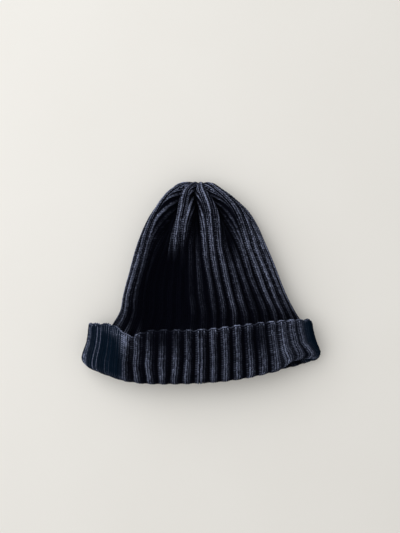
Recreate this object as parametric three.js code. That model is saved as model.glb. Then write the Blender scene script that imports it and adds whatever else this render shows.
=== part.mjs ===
// Rib-knit cap with a turned-up cuff, put down flat on its back: mouth towards -Y, tip towards +Y.
// Lengths are millimetres. It lies on z = 0, and its origin is the middle of its footprint.
import * as THREE from "three";

// The knit: ridges of three wales with valleys of three wales between them, all round the hat
const RIBS = 40; // ridges round the hat, half of them on the front
const GORES = 8; // wedges that the decreases cut the crown into
const KNIT = 5; // thickness of the ribbed fabric, over the ridges of both faces
const RIB_DEPTH = 2.4; // depth of a valley below its ridges, on either face
const LAYER_GAP = 0.8; // room between the cuff and the crown behind it
const FOLD_RELIEF = 0.4; // share of the relief that is left where the fold stretches the fabric
const FOLD_RADIUS = KNIT + LAYER_GAP / 2; // the fold goes round both layers
const LAYER = KNIT + LAYER_GAP;
const BESIDE_CUFF = 1.06; // width of the cuff beside the width of the crown's lower end
const NAVY = 0x252a3c;

// How the fabric lies
const SIDE_SHARE = 0.42; // height of the widest line, as a share of the height of a section
const FRONT_ROUND = 2.5; // exponent of the front half of a section: 2 is an ellipse, more is squarer
const BACK_ROUND = 2.8; // the same for the half that lies on the surface
const SAG = 1.5; // how far the back would sink in, which the surface presses flat
const FIRST_GORE = 1.5; // middle of the first gore, in ribs from the left edge
const GORE_RIBS = RIBS / GORES;
const RIDGE_SHARPNESS = 1.6; // a higher value gives flatter ridges and steeper flanks

// The crown's outer skin from the fold to the tip. course: length of fabric from the lower end. up: height of the
// row on the hat. left, right: its edges. top, under: heights of its front and back over the surface. follow: how
// far it follows the curve of the fold. cap: how far the skin faces the tip. ribs: ridges left in each gore.
// ridge: share of the full relief.
const CROWN = [
  { course: 0, up: 5.8, left: -106.4, right: 106.6, top: 29.2, under: 5.9, follow: 1, cap: 0, ribs: 5, ridge: 0.2 },
  { course: 21, up: 27, left: -98, right: 103, top: 31.6, under: 5.9, follow: 0.8, cap: 0, ribs: 5, ridge: 0.2 },
  { course: 47, up: 53, left: -84.5, right: 95, top: 32, under: 5.9, follow: 0.3, cap: 0, ribs: 5, ridge: 0.5 },
  { course: 62, up: 67.5, left: -77.5, right: 89, top: 34, under: 1.6, follow: 0.1, cap: 0, ribs: 5, ridge: 1 },
  { course: 77, up: 82, left: -73.6, right: 82.6, top: 35.5, under: 0, follow: 0, cap: 0, ribs: 5, ridge: 1 },
  { course: 93, up: 98, left: -69.8, right: 76, top: 35.5, under: 0, follow: 0, cap: 0, ribs: 5, ridge: 1 },
  { course: 109, up: 114, left: -65.4, right: 69.6, top: 35, under: 0, follow: 0, cap: 0, ribs: 5, ridge: 1 },
  { course: 124, up: 129, left: -61.6, right: 63.4, top: 35, under: 0, follow: 0, cap: 0, ribs: 5, ridge: 1 },
  { course: 138, up: 143, left: -56.6, right: 57.6, top: 34.5, under: 0, follow: 0, cap: 0.05, ribs: 4.5, ridge: 1 },
  { course: 151, up: 156, left: -50.9, right: 51.2, top: 33.5, under: 0, follow: 0, cap: 0.12, ribs: 3.9, ridge: 1 },
  { course: 162, up: 167, left: -44.5, right: 43.5, top: 32, under: 0.3, follow: 0, cap: 0.25, ribs: 3.3, ridge: 0.9 },
  { course: 173, up: 177, left: -37.2, right: 32.4, top: 29.5, under: 1.5, follow: 0, cap: 0.5, ribs: 2.7, ridge: 0.8 },
  { course: 182, up: 185, left: -28.6, right: 21, top: 26, under: 4, follow: 0, cap: 0.8, ribs: 2.1, ridge: 0.6 },
  { course: 189, up: 190.4, left: -19.6, right: 12, top: 22.5, under: 8, follow: 0, cap: 1, ribs: 1.6, ridge: 0.4 },
  { course: 193, up: 189.4, left: -9, right: 5, top: 19.5, under: 12.5, follow: 0, cap: 1, ribs: 1.2, ridge: 0.1 },
  { course: 197, up: 186, left: -2, right: 0, top: 16.5, under: 15.5, follow: 0, cap: 1, ribs: 1, ridge: 0 },
];
const LINED = [0, 47, 93, 124, 151, 173]; // courses at which the inner face of the crown is built

// The cuff's outer skin. rise: share of the way from the fold to the knitted edge
const CUFF = [
  { rise: 0, left: -113.4, right: 113.6, top: 35.2, under: 0 },
  { rise: 0.25, left: -111.4, right: 111.8, top: 37.2, under: 0 },
  { rise: 0.5, left: -108.8, right: 109.4, top: 38, under: 0 },
  { rise: 0.75, left: -107.4, right: 107.4, top: 38, under: 0 },
  { rise: 1, left: -106.8, right: 106.4, top: 38, under: 0 },
];

// The line of the fold across the hat, on the front and on the back layer
const FOLD = [
  { x: -114, front: 20, back: 19 },
  { x: -105, front: 14.2, back: 15.2 },
  { x: -82, front: 5.8, back: 7.8 },
  { x: -68, front: 2, back: 4.8 },
  { x: -40, front: 0, back: 3 },
  { x: 10, front: 1.4, back: 3.8 },
  { x: 40, front: 5.2, back: 6.6 },
  { x: 61, front: 9.6, back: 9.4 },
  { x: 79, front: 15.6, back: 12.8 },
  { x: 94, front: 20, back: 16.8 },
  { x: 106, front: 23.6, back: 20.8 },
  { x: 114, front: 27, back: 26 },
];

// The line of the cuff's knitted edge, which the crease pulls down on the left
const EDGE = [
  { x: -107, front: 55.4, back: 53 },
  { x: -84, front: 55.2, back: 51 },
  { x: -74, front: 49.4, back: 50.5 },
  { x: -65, front: 44, back: 50 },
  { x: -55, front: 47.6, back: 50 },
  { x: -44, front: 49.4, back: 50 },
  { x: 0, front: 50.4, back: 50 },
  { x: 40, front: 55, back: 51 },
  { x: 72, front: 58.4, back: 53 },
  { x: 107, front: 60, back: 58 },
];

// Dents and swells of the front: where, how wide, how long, how far turned from the hat's axis, and how high
const DENTS = [
  { name: "sunken left of the crown", x: -34, y: 88, wide: 27, long: 42, turn: -14, high: -15 },
  { name: "left edge standing up", x: -68, y: 98, wide: 11, long: 56, turn: -17, high: 4 },
  { name: "lower end of the sunken part", x: -40, y: 58, wide: 34, long: 14, turn: 0, high: -3 },
  { name: "wedge of two ribs that stands up", x: -21, y: 146, wide: 8, long: 26, turn: -19, high: 4 },
  { name: "swell right of the middle", x: 16, y: 132, wide: 13, long: 42, turn: 14, high: 2 },
  { name: "slack end of the cuff", x: -88, y: 34, wide: 17, long: 44, turn: 0, high: -6 },
  { name: "crease in the cuff", x: -67, y: 44, wide: 6, long: 30, turn: 0, high: -4 },
  { name: "fold beside the right end", x: 92, y: 30, wide: 7, long: 34, turn: 8, high: -3 },
];

// Folds that the decreases draw in round the tip: where, in ribs from the left edge, how deep, and how far they run
const GATHERS = [
  { name: "left of the front wedge", rib: 4, depth: 12, reach: 92 },
  { name: "middle of the front", rib: 9, depth: 12, reach: 84 },
  { name: "right of the middle", rib: 14, depth: 11, reach: 84 },
  { name: "right edge", rib: 19, depth: 7, reach: 70 },
  { name: "back, right edge", rib: 24, depth: 6, reach: 64 },
  { name: "back, right of the middle", rib: 29, depth: 6, reach: 70 },
  { name: "back, left of the middle", rib: 34, depth: 6, reach: 70 },
  { name: "back, left edge", rib: 39, depth: 7, reach: 64 },
];
const GATHER_HALF = 2.5; // half width of a gather, in ribs: the swells between them meet at its middle
const TIP_COURSE = CROWN[CROWN.length - 1].course;
const TIP_MERGE = 26; // length over which a gather runs out at the tip
const MOST_INSET = 0.55; // a fold takes at most this share of a section's half width

const COLUMNS = 4 * RIBS; // four columns a rib: both corners of the ridge and of the valley
const SECTION_STEPS = 48;

const clamp = (value, low, high) => Math.min(Math.max(value, low), high);
const mix = (a, b, share) => a + (b - a) * share;

// Reads one column of a table at a place between its rows, on a smooth curve through them.
function read(table, key, at, column) {
  const last = table.length - 1;
  let i = 0;
  while (i < last - 1 && at > table[i + 1][key]) i += 1;
  const slope = (k) => {
    const before = table[Math.max(k - 1, 0)];
    const after = table[Math.min(k + 1, last)];
    return (after[column] - before[column]) / (after[key] - before[key]);
  };
  const span = table[i + 1][key] - table[i][key];
  const s = clamp((at - table[i][key]) / span, 0, 1);
  const ease = s * s * (3 - 2 * s);
  const rise = span * s * (1 - s) * (slope(i) * (1 - s) - slope(i + 1) * s);
  return mix(table[i][column], table[i + 1][column], ease) + rise;
}

const rowOf = (table, key, at) =>
  Object.fromEntries(Object.keys(table[0]).map((column) => [column, read(table, key, at, column)]));

const isFront = (rib) => rib < RIBS / 2;

// A point of a flattened section. Angle 0 is its right edge, and it turns up over the front.
function sectionPoint(row, inset, angle) {
  const half = (row.right - row.left) / 2;
  const taken = Math.min(inset, MOST_INSET * half);
  const side = mix(row.under, row.top, SIDE_SHARE);
  const round = angle > 0 ? FRONT_ROUND : BACK_ROUND;
  const across = Math.sign(Math.cos(angle)) * Math.abs(Math.cos(angle)) ** (2 / round);
  const upward = Math.abs(Math.sin(angle)) ** (2 / round);
  const x = (row.left + row.right) / 2 + (half - taken) * across;
  if (angle > 0) return { x, z: side + Math.max(row.top - side - taken, 0.5) * upward };
  const floor = Math.min(row.under + taken, side - 0.5);
  return { x, z: Math.max(side - (side - floor + SAG) * upward, floor) };
}

// The angle at which a rib stands, with the ribs of each half evenly spaced along the fabric.
function angleOf(row, rib) {
  const start = isFront(rib) ? Math.PI : 0;
  const share = (rib % (RIBS / 2)) / (RIBS / 2);
  const angles = Array.from({ length: SECTION_STEPS + 1 }, (_, i) => start - (Math.PI * i) / SECTION_STEPS);
  const tiny = 1e-9;
  const points = angles.map((angle) => sectionPoint(row, 0, isFront(rib) ? Math.max(angle, tiny) : angle - tiny));
  const lengths = [0];
  for (let i = 1; i < points.length; i += 1) {
    lengths.push(lengths[i - 1] + Math.hypot(points[i].x - points[i - 1].x, points[i].z - points[i - 1].z));
  }
  const target = share * lengths[SECTION_STEPS];
  let k = 1;
  while (k < SECTION_STEPS && lengths[k] < target) k += 1;
  const between = (target - lengths[k - 1]) / (lengths[k] - lengths[k - 1]);
  return mix(angles[k - 1], angles[k], between);
}

// How far the dents and swells move a point of the front up or down.
function dentAt(x, y) {
  return DENTS.reduce((sum, dent) => {
    const turn = THREE.MathUtils.degToRad(dent.turn);
    const dx = x - dent.x;
    const dy = y - dent.y;
    const across = (dx * Math.cos(turn) + dy * Math.sin(turn)) / dent.wide;
    const along = (dy * Math.cos(turn) - dx * Math.sin(turn)) / dent.long;
    return sum + dent.high * Math.exp(-(across ** 2) - along ** 2);
  }, 0);
}

// Moves a point of the front by the dents, fully at its top and not at all at its widest line.
function dented(row, point) {
  const side = mix(row.under, row.top, SIDE_SHARE);
  const share = clamp((point.z - side) / (row.top - side), 0, 1);
  return new THREE.Vector3(point.x, point.y, point.z + share * dentAt(point.x, point.y));
}

// Depth of the folds that run into the tip, at a rib and a course.
function gatherAt(rib, course) {
  const fromTip = TIP_COURSE - course;
  return GATHERS.reduce((sum, gather) => {
    const away = Math.abs(((rib - gather.rib + RIBS * 1.5) % RIBS) - RIBS / 2) / GATHER_HALF;
    if (away >= 1 || fromTip >= gather.reach) return sum;
    const fade = Math.sin(Math.PI * (1 - fromTip / gather.reach) * 0.5) ** 2;
    const merge = Math.min(fromTip / TIP_MERGE, 1);
    const swell = Math.sqrt(1 - (1 - away) ** 2);
    return sum + gather.depth * fade * merge * (1 - swell);
  }, 0);
}

// 1 on a ridge and 0 in a valley of the crown. Towards the tip each gore holds fewer ridges.
function crownRidge(rib, row) {
  const inGore = ((rib - FIRST_GORE + GORE_RIBS * 1.5) % GORE_RIBS) - GORE_RIBS / 2;
  const place = (inGore * row.ribs) / GORE_RIBS;
  return 0.5 + 0.5 * clamp(RIDGE_SHARPNESS * Math.cos(2 * Math.PI * place), -1, 1);
}

// 1 on a ridge and 0 in a valley of the cuff. It shows the fabric's inside, so its ridges stand at the crown's valleys.
const cuffRidge = (rib) => 0.5 + 0.5 * clamp(RIDGE_SHARPNESS * Math.cos(2 * Math.PI * rib), -1, 1);

// A point of the crown, at a depth below the outer skin.
function crownPoint(rib, course, depth) {
  const row = rowOf(CROWN, "course", course);
  const inset = depth + gatherAt(rib, course);
  const point = sectionPoint(row, inset, angleOf(row, rib));
  const fold = read(FOLD, "x", point.x * BESIDE_CUFF, isFront(rib) ? "front" : "back");
  point.y = row.up + row.follow * fold - depth * row.cap;
  return dented(row, point);
}

function crownOutside(rib, course) {
  const row = rowOf(CROWN, "course", course);
  return crownPoint(rib, course, RIB_DEPTH * row.ridge * (1 - crownRidge(rib, row)));
}

function crownInside(rib, course) {
  const row = rowOf(CROWN, "course", course);
  const relief = RIB_DEPTH * Math.max(row.ridge, 1 - row.cap * 2) * crownRidge(rib, row);
  return crownPoint(rib, course, KNIT - relief);
}

// A point of the cuff, at a depth below its outer skin. drop moves it past the start of the fold.
function cuffPoint(rib, rise, depth, drop = 0) {
  const row = rowOf(CUFF, "rise", rise);
  const point = sectionPoint(row, depth, angleOf(row, rib));
  const side = isFront(rib) ? "front" : "back";
  const fold = read(FOLD, "x", point.x, side) + FOLD_RADIUS;
  point.y = mix(fold, read(EDGE, "x", point.x, side), rise) - drop;
  return dented(row, point);
}

// The fold from the outer skin of the cuff, at turn 0, round to the inside of the hat, at turn 1. It stretches the
// fabric, so its ridges are low.
function foldPoint(rib, turn) {
  const relief = RIB_DEPTH * mix(1, FOLD_RELIEF, Math.sin(Math.PI * turn));
  const radius = FOLD_RADIUS - relief * (1 - cuffRidge(rib));
  const depth = FOLD_RADIUS - radius * Math.cos(Math.PI * turn);
  return cuffPoint(rib, 0, depth, radius * Math.sin(Math.PI * turn));
}

const ringOf = (place) => Array.from({ length: COLUMNS }, (_, j) => place((j + 0.5) / 4));

// Joins rings of points, each running round the hat, into one closed skin. Poles close its ends. With no poles the
// last ring joins the first.
function skinOf(rings, poles = null) {
  const points = rings.flat();
  const faces = [];
  const at = (i, j) => (i % rings.length) * COLUMNS + (j % COLUMNS);
  const bands = poles ? rings.length - 1 : rings.length;
  for (let i = 0; i < bands; i += 1) {
    for (let j = 0; j < COLUMNS; j += 1) {
      faces.push(at(i, j), at(i + 1, j + 1), at(i, j + 1), at(i, j), at(i + 1, j), at(i + 1, j + 1));
    }
  }
  if (poles) {
    const first = points.push(poles.first) - 1;
    const last = points.push(poles.last) - 1;
    for (let j = 0; j < COLUMNS; j += 1) {
      faces.push(first, at(0, j), at(0, j + 1));
      faces.push(last, at(rings.length - 1, j + 1), at(rings.length - 1, j));
    }
  }
  const geometry = new THREE.BufferGeometry().setFromPoints(points);
  geometry.setIndex(faces);
  geometry.computeVertexNormals();
  return geometry;
}

// The crown: a hollow shell from the tip down to the fold, open at the mouth
function makeCrown() {
  const courses = CROWN.map((row) => row.course);
  const outside = courses.slice(0, -1).map((course) => ringOf((rib) => crownOutside(rib, course)));
  const inside = LINED.map((course) => ringOf((rib) => crownInside(rib, course)));
  const middle = (depth) => crownPoint(RIBS / 4, TIP_COURSE, depth);
  return skinOf([...outside.reverse(), ...inside], { first: middle(0), last: middle(KNIT * 1.5) });
}

// The cuff: the turned-up band, with the fold along its lower edge that the crown's lower end stands in
function makeCuff() {
  const valley = (rib) => RIB_DEPTH * (1 - cuffRidge(rib));
  const rings = [
    ...[1, 0.66, 0.33, 0].map((rise) => ringOf((rib) => cuffPoint(rib, rise, valley(rib)))),
    ...[0.25, 0.5, 0.75, 1].map((turn) => ringOf((rib) => foldPoint(rib, turn))),
    ringOf((rib) => cuffPoint(rib, 0, LAYER)),
    ...[0.04, 0.5, 1].map((rise) => ringOf((rib) => cuffPoint(rib, rise, KNIT - rise * RIB_DEPTH * cuffRidge(rib)))),
  ];
  return skinOf(rings);
}

const knit = () => new THREE.MeshStandardMaterial({ color: NAVY, roughness: 0.95, metalness: 0 });

function named(name, geometry) {
  const mesh = new THREE.Mesh(geometry, knit());
  mesh.name = name;
  return mesh;
}

const hat = new THREE.Group();
hat.add(named("crown", makeCrown()), named("cuff", makeCuff()));

// The middle of the footprint is the origin
const box = new THREE.Box3().setFromObject(hat, true);
const middle = box.getCenter(new THREE.Vector3());
hat.position.set(-middle.x, -middle.y, -box.min.z);

export default hat;
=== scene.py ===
"""Looks of a rib-knit cap with a turned-up cuff, which lies on its back on a pale table.

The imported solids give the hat's size and place. This script repeats their form in finer steps and
knits it: each ridge is three columns of V-shaped stitches in real geometry, with purl bumps in the
valleys between the ridges. Lengths in the tables are millimetres. A rib is one ridge and one valley of
the fabric, and ribs are counted round the hat from its left edge, over the front first.
"""

import logging
from dataclasses import dataclass, field, fields
from enum import Enum
from typing import Callable, Sequence

import bpy
import numpy as np
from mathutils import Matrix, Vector


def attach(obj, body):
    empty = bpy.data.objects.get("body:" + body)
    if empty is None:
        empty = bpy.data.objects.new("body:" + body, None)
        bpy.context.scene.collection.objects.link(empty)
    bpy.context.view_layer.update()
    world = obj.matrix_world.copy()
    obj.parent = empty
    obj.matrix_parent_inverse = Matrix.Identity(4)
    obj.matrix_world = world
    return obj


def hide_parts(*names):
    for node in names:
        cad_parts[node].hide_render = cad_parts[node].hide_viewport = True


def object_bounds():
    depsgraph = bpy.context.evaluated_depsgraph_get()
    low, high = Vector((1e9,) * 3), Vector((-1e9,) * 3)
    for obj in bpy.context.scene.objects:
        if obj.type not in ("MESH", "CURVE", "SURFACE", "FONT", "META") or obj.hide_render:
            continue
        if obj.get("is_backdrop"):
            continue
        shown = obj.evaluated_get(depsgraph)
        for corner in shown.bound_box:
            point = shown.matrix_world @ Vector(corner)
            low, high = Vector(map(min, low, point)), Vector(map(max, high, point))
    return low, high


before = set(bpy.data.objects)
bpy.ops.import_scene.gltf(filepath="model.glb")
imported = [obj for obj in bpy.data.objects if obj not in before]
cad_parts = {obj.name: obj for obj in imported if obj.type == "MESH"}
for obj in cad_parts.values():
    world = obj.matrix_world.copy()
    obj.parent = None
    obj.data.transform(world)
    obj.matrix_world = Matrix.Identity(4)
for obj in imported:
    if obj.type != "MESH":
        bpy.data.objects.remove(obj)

log = logging.getLogger("hat")

MM = 0.001
TURN = 2 * np.pi
TINY = 1e-9


@dataclass(frozen=True)
class CrownRow:
    """A section of the crown, at a course of the fabric counted in millimetres from its lower end.

    up is its height on the hat, left and right are its edges, and top and under are the heights of its
    front and its back over the table. follow is how far it follows the curve of the fold, and cap how
    far the skin faces the tip. ribs is the count of ridges left in each gore, and ridge their share of
    the full relief.
    """

    course: float
    up: float
    left: float
    right: float
    top: float
    under: float
    follow: float
    cap: float
    ribs: float
    ridge: float


@dataclass(frozen=True)
class CuffRow:
    """A section of the cuff. rise is the share of the way from the fold to the free edge."""

    rise: float
    left: float
    right: float
    top: float
    under: float


@dataclass(frozen=True)
class StretchRow:
    """How the cuff's ribbing is pulled open at a rib.

    relief is its share of the full relief, and broad how much broader its ridges are than its valleys.
    slack is how flat and plain the fabric lies, and edges how strong the painted highlight on the rims
    of flat ridges is.
    """

    rib: float
    relief: float
    broad: float
    slack: float
    edges: float


@dataclass(frozen=True)
class ShiftRow:
    """How many ribs a rib is shifted sideways."""

    rib: float
    shift: float


@dataclass(frozen=True)
class LineRow:
    """A point of a line across the hat, given for its front and its back layer."""

    x: float
    front: float
    back: float


@dataclass(frozen=True)
class Dent:
    """A dent (high below 0) or a swell of the front: an oval, turned by degrees from the hat's axis."""

    name: str
    x: float
    y: float
    wide: float
    long: float
    turn: float
    high: float


@dataclass(frozen=True)
class PaintedShading:
    """An oval place on the front or the back that is painted: painted shade where share is below 0,
    painted light where it is above.
    """

    name: str
    x: float
    y: float
    wide: float
    long: float
    turn: float
    share: float
    back: bool = False


@dataclass(frozen=True)
class Gather:
    """A fold that the decreases draw in: its rib, its depth and how far it runs from the tip.

    wide is half the width of its floor and wall the width of each of its walls, in ribs.
    """

    name: str
    rib: float
    depth: float
    reach: float
    wide: float
    wall: float


@dataclass(frozen=True)
class Wave:
    """A wave of unevenness: its count round the hat, its length along the fabric and its start."""

    count: int
    run: float
    start: float


CROWN_ROWS = (
    CrownRow(0, 5.8, -106.4, 106.6, 29.2, 5.9, 1, 0, 5, 0.2),
    CrownRow(21, 27, -98, 103, 31.6, 5.9, 0.8, 0, 5, 0.2),
    CrownRow(47, 53, -84.5, 95, 32, 5.9, 0.3, 0, 5, 0.5),
    CrownRow(62, 67.5, -77.5, 89, 34, 1.6, 0.1, 0, 5, 1),
    CrownRow(77, 82, -74.6, 82.6, 35.5, 0, 0, 0, 5, 1),
    CrownRow(93, 98, -70.6, 76, 35.5, 0, 0, 0, 5, 1),
    CrownRow(109, 114, -66.2, 69.6, 35, 0, 0, 0, 5, 1),
    CrownRow(124, 129, -61.6, 63.4, 35, 0, 0, 0, 5, 1),
    CrownRow(138, 143, -56.6, 57.6, 34.5, 0, 0, 0.05, 4.5, 1),
    CrownRow(151, 156, -50.9, 51.2, 33.5, 0, 0, 0.12, 3.9, 1),
    CrownRow(162, 167, -44.5, 43.5, 32, 0.3, 0, 0.25, 3.3, 0.9),
    CrownRow(173, 177, -37.2, 32.4, 29.5, 1.5, 0, 0.5, 2.7, 0.8),
    CrownRow(182, 185, -28.6, 21, 26, 4, 0, 0.8, 2.1, 0.6),
    CrownRow(189, 190.4, -19.6, 12, 22.5, 8, 0, 1, 1.6, 0.4),
    CrownRow(193, 189.4, -9, 5, 19.5, 12.5, 0, 1, 1.2, 0.1),
    CrownRow(197, 186, -2, 0, 16.5, 15.5, 0, 1, 1, 0),
)
CUFF_ROWS = (
    CuffRow(0, -113.4, 113.6, 35.2, 0),
    CuffRow(0.25, -111.4, 111.8, 37.2, 0),
    CuffRow(0.5, -108.8, 109.4, 38, 0),
    CuffRow(0.75, -107.4, 107.4, 38, 0),
    CuffRow(1, -106.8, 106.4, 38, 0),
)
STRETCH = (
    StretchRow(-2, 1, 0.1, 0, 0),
    StretchRow(-0.6, 0.9, 0.2, 0.1, 0),
    StretchRow(0.2, 0.5, 0.5, 0.8, 0.7),
    StretchRow(1, 0.35, 0.6, 1, 1),
    StretchRow(2, 0.3, 0.6, 1, 0.4),
    StretchRow(3, 0.3, 0.4, 1, 0),
    StretchRow(3.7, 0.6, 0.2, 0.5, 0),
    StretchRow(4.3, 1, 0.2, 0, 0),
    StretchRow(6, 1, 0.35, 0, 0),
    StretchRow(13, 1, 0.35, 0, 0),
    StretchRow(15.5, 0.9, 0.5, 0.05, 0),
    StretchRow(17.5, 0.7, 0.8, 0.1, 0),
    StretchRow(18.7, 0.6, 0.6, 0.2, 0),
    StretchRow(19.1, 0.6, 0.5, 0.4, 0),
    StretchRow(19.5, 0.3, 0.4, 1, 0),
    StretchRow(20.5, 0.3, 0.4, 1, 0),
    StretchRow(21.3, 0.8, 0.2, 0.2, 0),
    StretchRow(22, 1, 0.1, 0, 0),
)
FOLD_LINE = (
    LineRow(-114, 20, 19),
    LineRow(-105, 14.2, 15.2),
    LineRow(-82, 5.8, 7.8),
    LineRow(-68, 2, 4.8),
    LineRow(-40, 0, 3),
    LineRow(10, 1.4, 3.8),
    LineRow(40, 5.2, 6.6),
    LineRow(61, 9.6, 9.4),
    LineRow(74, 13.2, 11.8),
    LineRow(84, 20, 13),
    LineRow(94, 22.8, 16),
    LineRow(106, 23.8, 20.4),
    LineRow(114, 24.8, 23.6),
)
EDGE_LINE = (
    LineRow(-107, 55.4, 53),
    LineRow(-84, 55.2, 51),
    LineRow(-74, 49.4, 50.5),
    LineRow(-65, 44, 50),
    LineRow(-55, 47.6, 50),
    LineRow(-44, 49.4, 50),
    LineRow(0, 50.4, 50),
    LineRow(40, 55, 51),
    LineRow(72, 58.4, 53),
    LineRow(107, 60, 58),
)
DENTS = (
    Dent("sunken left of the crown", -34, 88, 27, 42, -14, -15),
    Dent("left edge standing up", -68, 98, 11, 56, -17, 4),
    Dent("lower end of the sunken part", -40, 58, 34, 14, 0, -3),
    Dent("dip along the cuff", 24, 58, 60, 12, 3, -2.5),
    Dent("wedge of two ribs that stands up", -20, 146, 8, 26, -19, 5),
    Dent("swell right of the middle", 16, 132, 13, 42, 14, 2),
    Dent("slack end of the cuff", -88, 34, 17, 44, 0, -6),
    Dent("crease in the cuff", -65.5, 28, 4, 22, 0, -6),
    Dent("fold beside the notch", -74, 42, 6, 13, -8, 6),
    Dent("fold beside the right end", 92, 30, 7, 34, 8, -3),
)
# Painted shade and painted light on the crown: darker hollows and slopes that face away from the light,
# paler swells, lobes and edges that face it.
CROWN_PAINTED_SHADING = (
    PaintedShading("sunken part, its right side", 6, 76, 23, 38, -8, -0.75),
    PaintedShading("along the cuff", 20, 58, 80, 14, 0, -0.7),
    PaintedShading("lower right", 64, 66, 26, 16, 0, -0.6),
    PaintedShading("left of the lower right", 52, 78, 7, 30, 14, -0.4),
    PaintedShading("soft hollow to the right", 47, 84, 11, 34, 17, -0.7),
    PaintedShading("right of the middle swell", 27, 136, 9, 26, 18, -0.97),
    PaintedShading("top of the middle swell", 7, 158, 8, 22, 8, 0.25),
    PaintedShading("between the two right swells, above", 33, 153, 7, 16, 32, -0.6),
    PaintedShading("right half of the middle swell", 16, 138, 5, 30, 10, -0.15),
    PaintedShading("right rib of the wedge", -12.5, 153, 4, 14, -19, -0.3),
    PaintedShading("wedge of two ribs", -23, 156, 8, 26, -19, 1.0),
    PaintedShading("lower right of the wedge", -16, 125, 4.5, 15, -12, -0.85),
    PaintedShading("inside of the left edge", -50, 143, 5, 20, -25, -0.2),
    PaintedShading("lobe left of the wedge", -37, 168, 10, 20, -40, 0.8),
    PaintedShading("tip", -12, 184, 30, 17, 0, 0.6),
    PaintedShading("hollow under the left lobe", -34, 149, 10, 9, -30, -0.8),
    PaintedShading("left edge", -71, 86, 5, 50, -17, 0.45),
    PaintedShading("beside the left edge", -58, 86, 6, 40, -14, -0.4),
)
# Painted shade and painted light on the cuff: darker where it lies in shade, under the lifted fold too,
# paler folds and edges that catch the light.
CUFF_PAINTED_SHADING = (
    PaintedShading("upper left of the ribbing", -37, 42, 24, 13, 0, -0.88),
    PaintedShading("along the fold", -15, 3, 60, 6, 0, -0.4),
    PaintedShading("first ridge", -62, 34, 5, 16, 0, 0.3),
    PaintedShading("middle", 16, 30, 44, 26, 0, -0.45),
    PaintedShading("dark patch", 53, 42, 15, 15, 0, -0.9),
    PaintedShading("upper part of the dark patch", 55, 52, 9, 7, 0, -0.6),
    PaintedShading("free edge right of the notch", -40, 50, 22, 3.5, 0, -0.55),
    PaintedShading("right end", 80, 38, 12, 26, 0, 0.3),
    PaintedShading("fold beside the notch", -71, 40, 5, 10, -8, 1.3),
    PaintedShading("free edge that turns up beside the notch", -79, 48.5, 4, 16, 63, 1.2),
    PaintedShading("knob at the lower left", -111, 20, 5, 9, 0, 0.6),
    PaintedShading("left end", -103, 36, 7, 22, 0, 0.12),
    PaintedShading("slack part beside the notch", -84, 32, 11, 20, 0, -0.6),
    PaintedShading("fold at the lower right", 103.5, 22.8, 1.6, 12, -79, 0.8),
    PaintedShading("fold at the lower left", -85, 9, 2, 22, 72, 0.3),
    PaintedShading("back under the lifted fold", 87, 19, 13, 7, 16, -0.97, back=True),
)
CROWN_SHIFT = (
    ShiftRow(0, 0),
    ShiftRow(1.5, -0.35),
    ShiftRow(4, -0.1),
    ShiftRow(8, 0.1),
    ShiftRow(10, 0.3),
    ShiftRow(12, 0.4),
    ShiftRow(14, 0.6),
    ShiftRow(16, 0.62),
    ShiftRow(18, 0.45),
    ShiftRow(20, 0),
    ShiftRow(40, 0),
)
CUFF_SHIFT = (
    ShiftRow(0, 0),
    ShiftRow(3, 0),
    ShiftRow(5, -0.24),
    ShiftRow(6.5, -0.14),
    ShiftRow(8, 0),
    ShiftRow(15.5, 0),
    ShiftRow(17, -0.2),
    ShiftRow(18, -0.3),
    ShiftRow(19, -0.65),
    ShiftRow(20.5, -0.65),
    ShiftRow(22.5, 0),
    ShiftRow(40, 0),
)
TIP_SHIFT = (
    ShiftRow(0, 0),
    ShiftRow(2, 2.6),
    ShiftRow(3.5, 4.1),
    ShiftRow(5, 3.9),
    ShiftRow(8, 2.1),
    ShiftRow(10, 0.9),
    ShiftRow(13, 0.4),
    ShiftRow(15, -0.4),
    ShiftRow(17, -0.5),
    ShiftRow(20, 0),
    ShiftRow(40, 0),
)
GATHERS = (
    Gather("left of the front wedge", 4.3, 13, 104, 0.8, 0.8),
    Gather("middle of the front", 9.1, 13, 100, 0.4, 0.8),
    Gather("right of the middle", 14.1, 11, 92, 0.5, 0.9),
    Gather("right edge", 19, 5, 70, 0.2, 1.5),
    Gather("back, right edge", 24, 6, 64, 0.2, 1.5),
    Gather("back, right of the middle", 30.6, 8, 70, 0.3, 1.2),
    Gather("back, left of the middle", 34, 6, 70, 0.2, 1.5),
    Gather("back, left edge", 39, 5, 64, 0.2, 1.5),
)
WAVES = (Wave(3, 61, 0.4), Wave(7, -83, 1.9), Wave(11, 47, 3.1))


def eased(share: np.ndarray) -> np.ndarray:
    """A share from 0 to 1 that starts and stops softly."""
    return share**2 * (3 - 2 * share)


class SmoothTable:
    """A table whose columns are read on a smooth curve through its rows."""

    def __init__(
        self, rows: Sequence[CrownRow | CuffRow | StretchRow | ShiftRow | LineRow], key: str
    ) -> None:
        """Takes the rows in.

        Args:
            rows: The rows, in the order of their key.
            key: The column that the table is read by.
        """
        self.keys = np.array([getattr(row, key) for row in rows], float)
        names = [column.name for column in fields(rows[0]) if column.name != key]
        self.columns = {name: np.array([getattr(row, name) for row in rows], float) for name in names}

    def read(self, column: str, at: float | np.ndarray) -> np.ndarray:
        """Reads one column between the rows.

        Args:
            column: The column's name.
            at: One or more values of the key.

        Returns:
            The column's values there.
        """
        keys, values = self.keys, self.columns[column]
        i = np.clip(np.searchsorted(keys, at, side="left") - 1, 0, len(keys) - 2)
        before = np.maximum(np.arange(len(keys)) - 1, 0)
        after = np.minimum(np.arange(len(keys)) + 1, len(keys) - 1)
        slopes = (values[after] - values[before]) / (keys[after] - keys[before])
        span = keys[i + 1] - keys[i]
        s = np.clip((at - keys[i]) / span, 0, 1)
        rise = span * s * (1 - s) * (slopes[i] * (1 - s) - slopes[i + 1] * s)
        return values[i] + (values[i + 1] - values[i]) * eased(s) + rise


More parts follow.
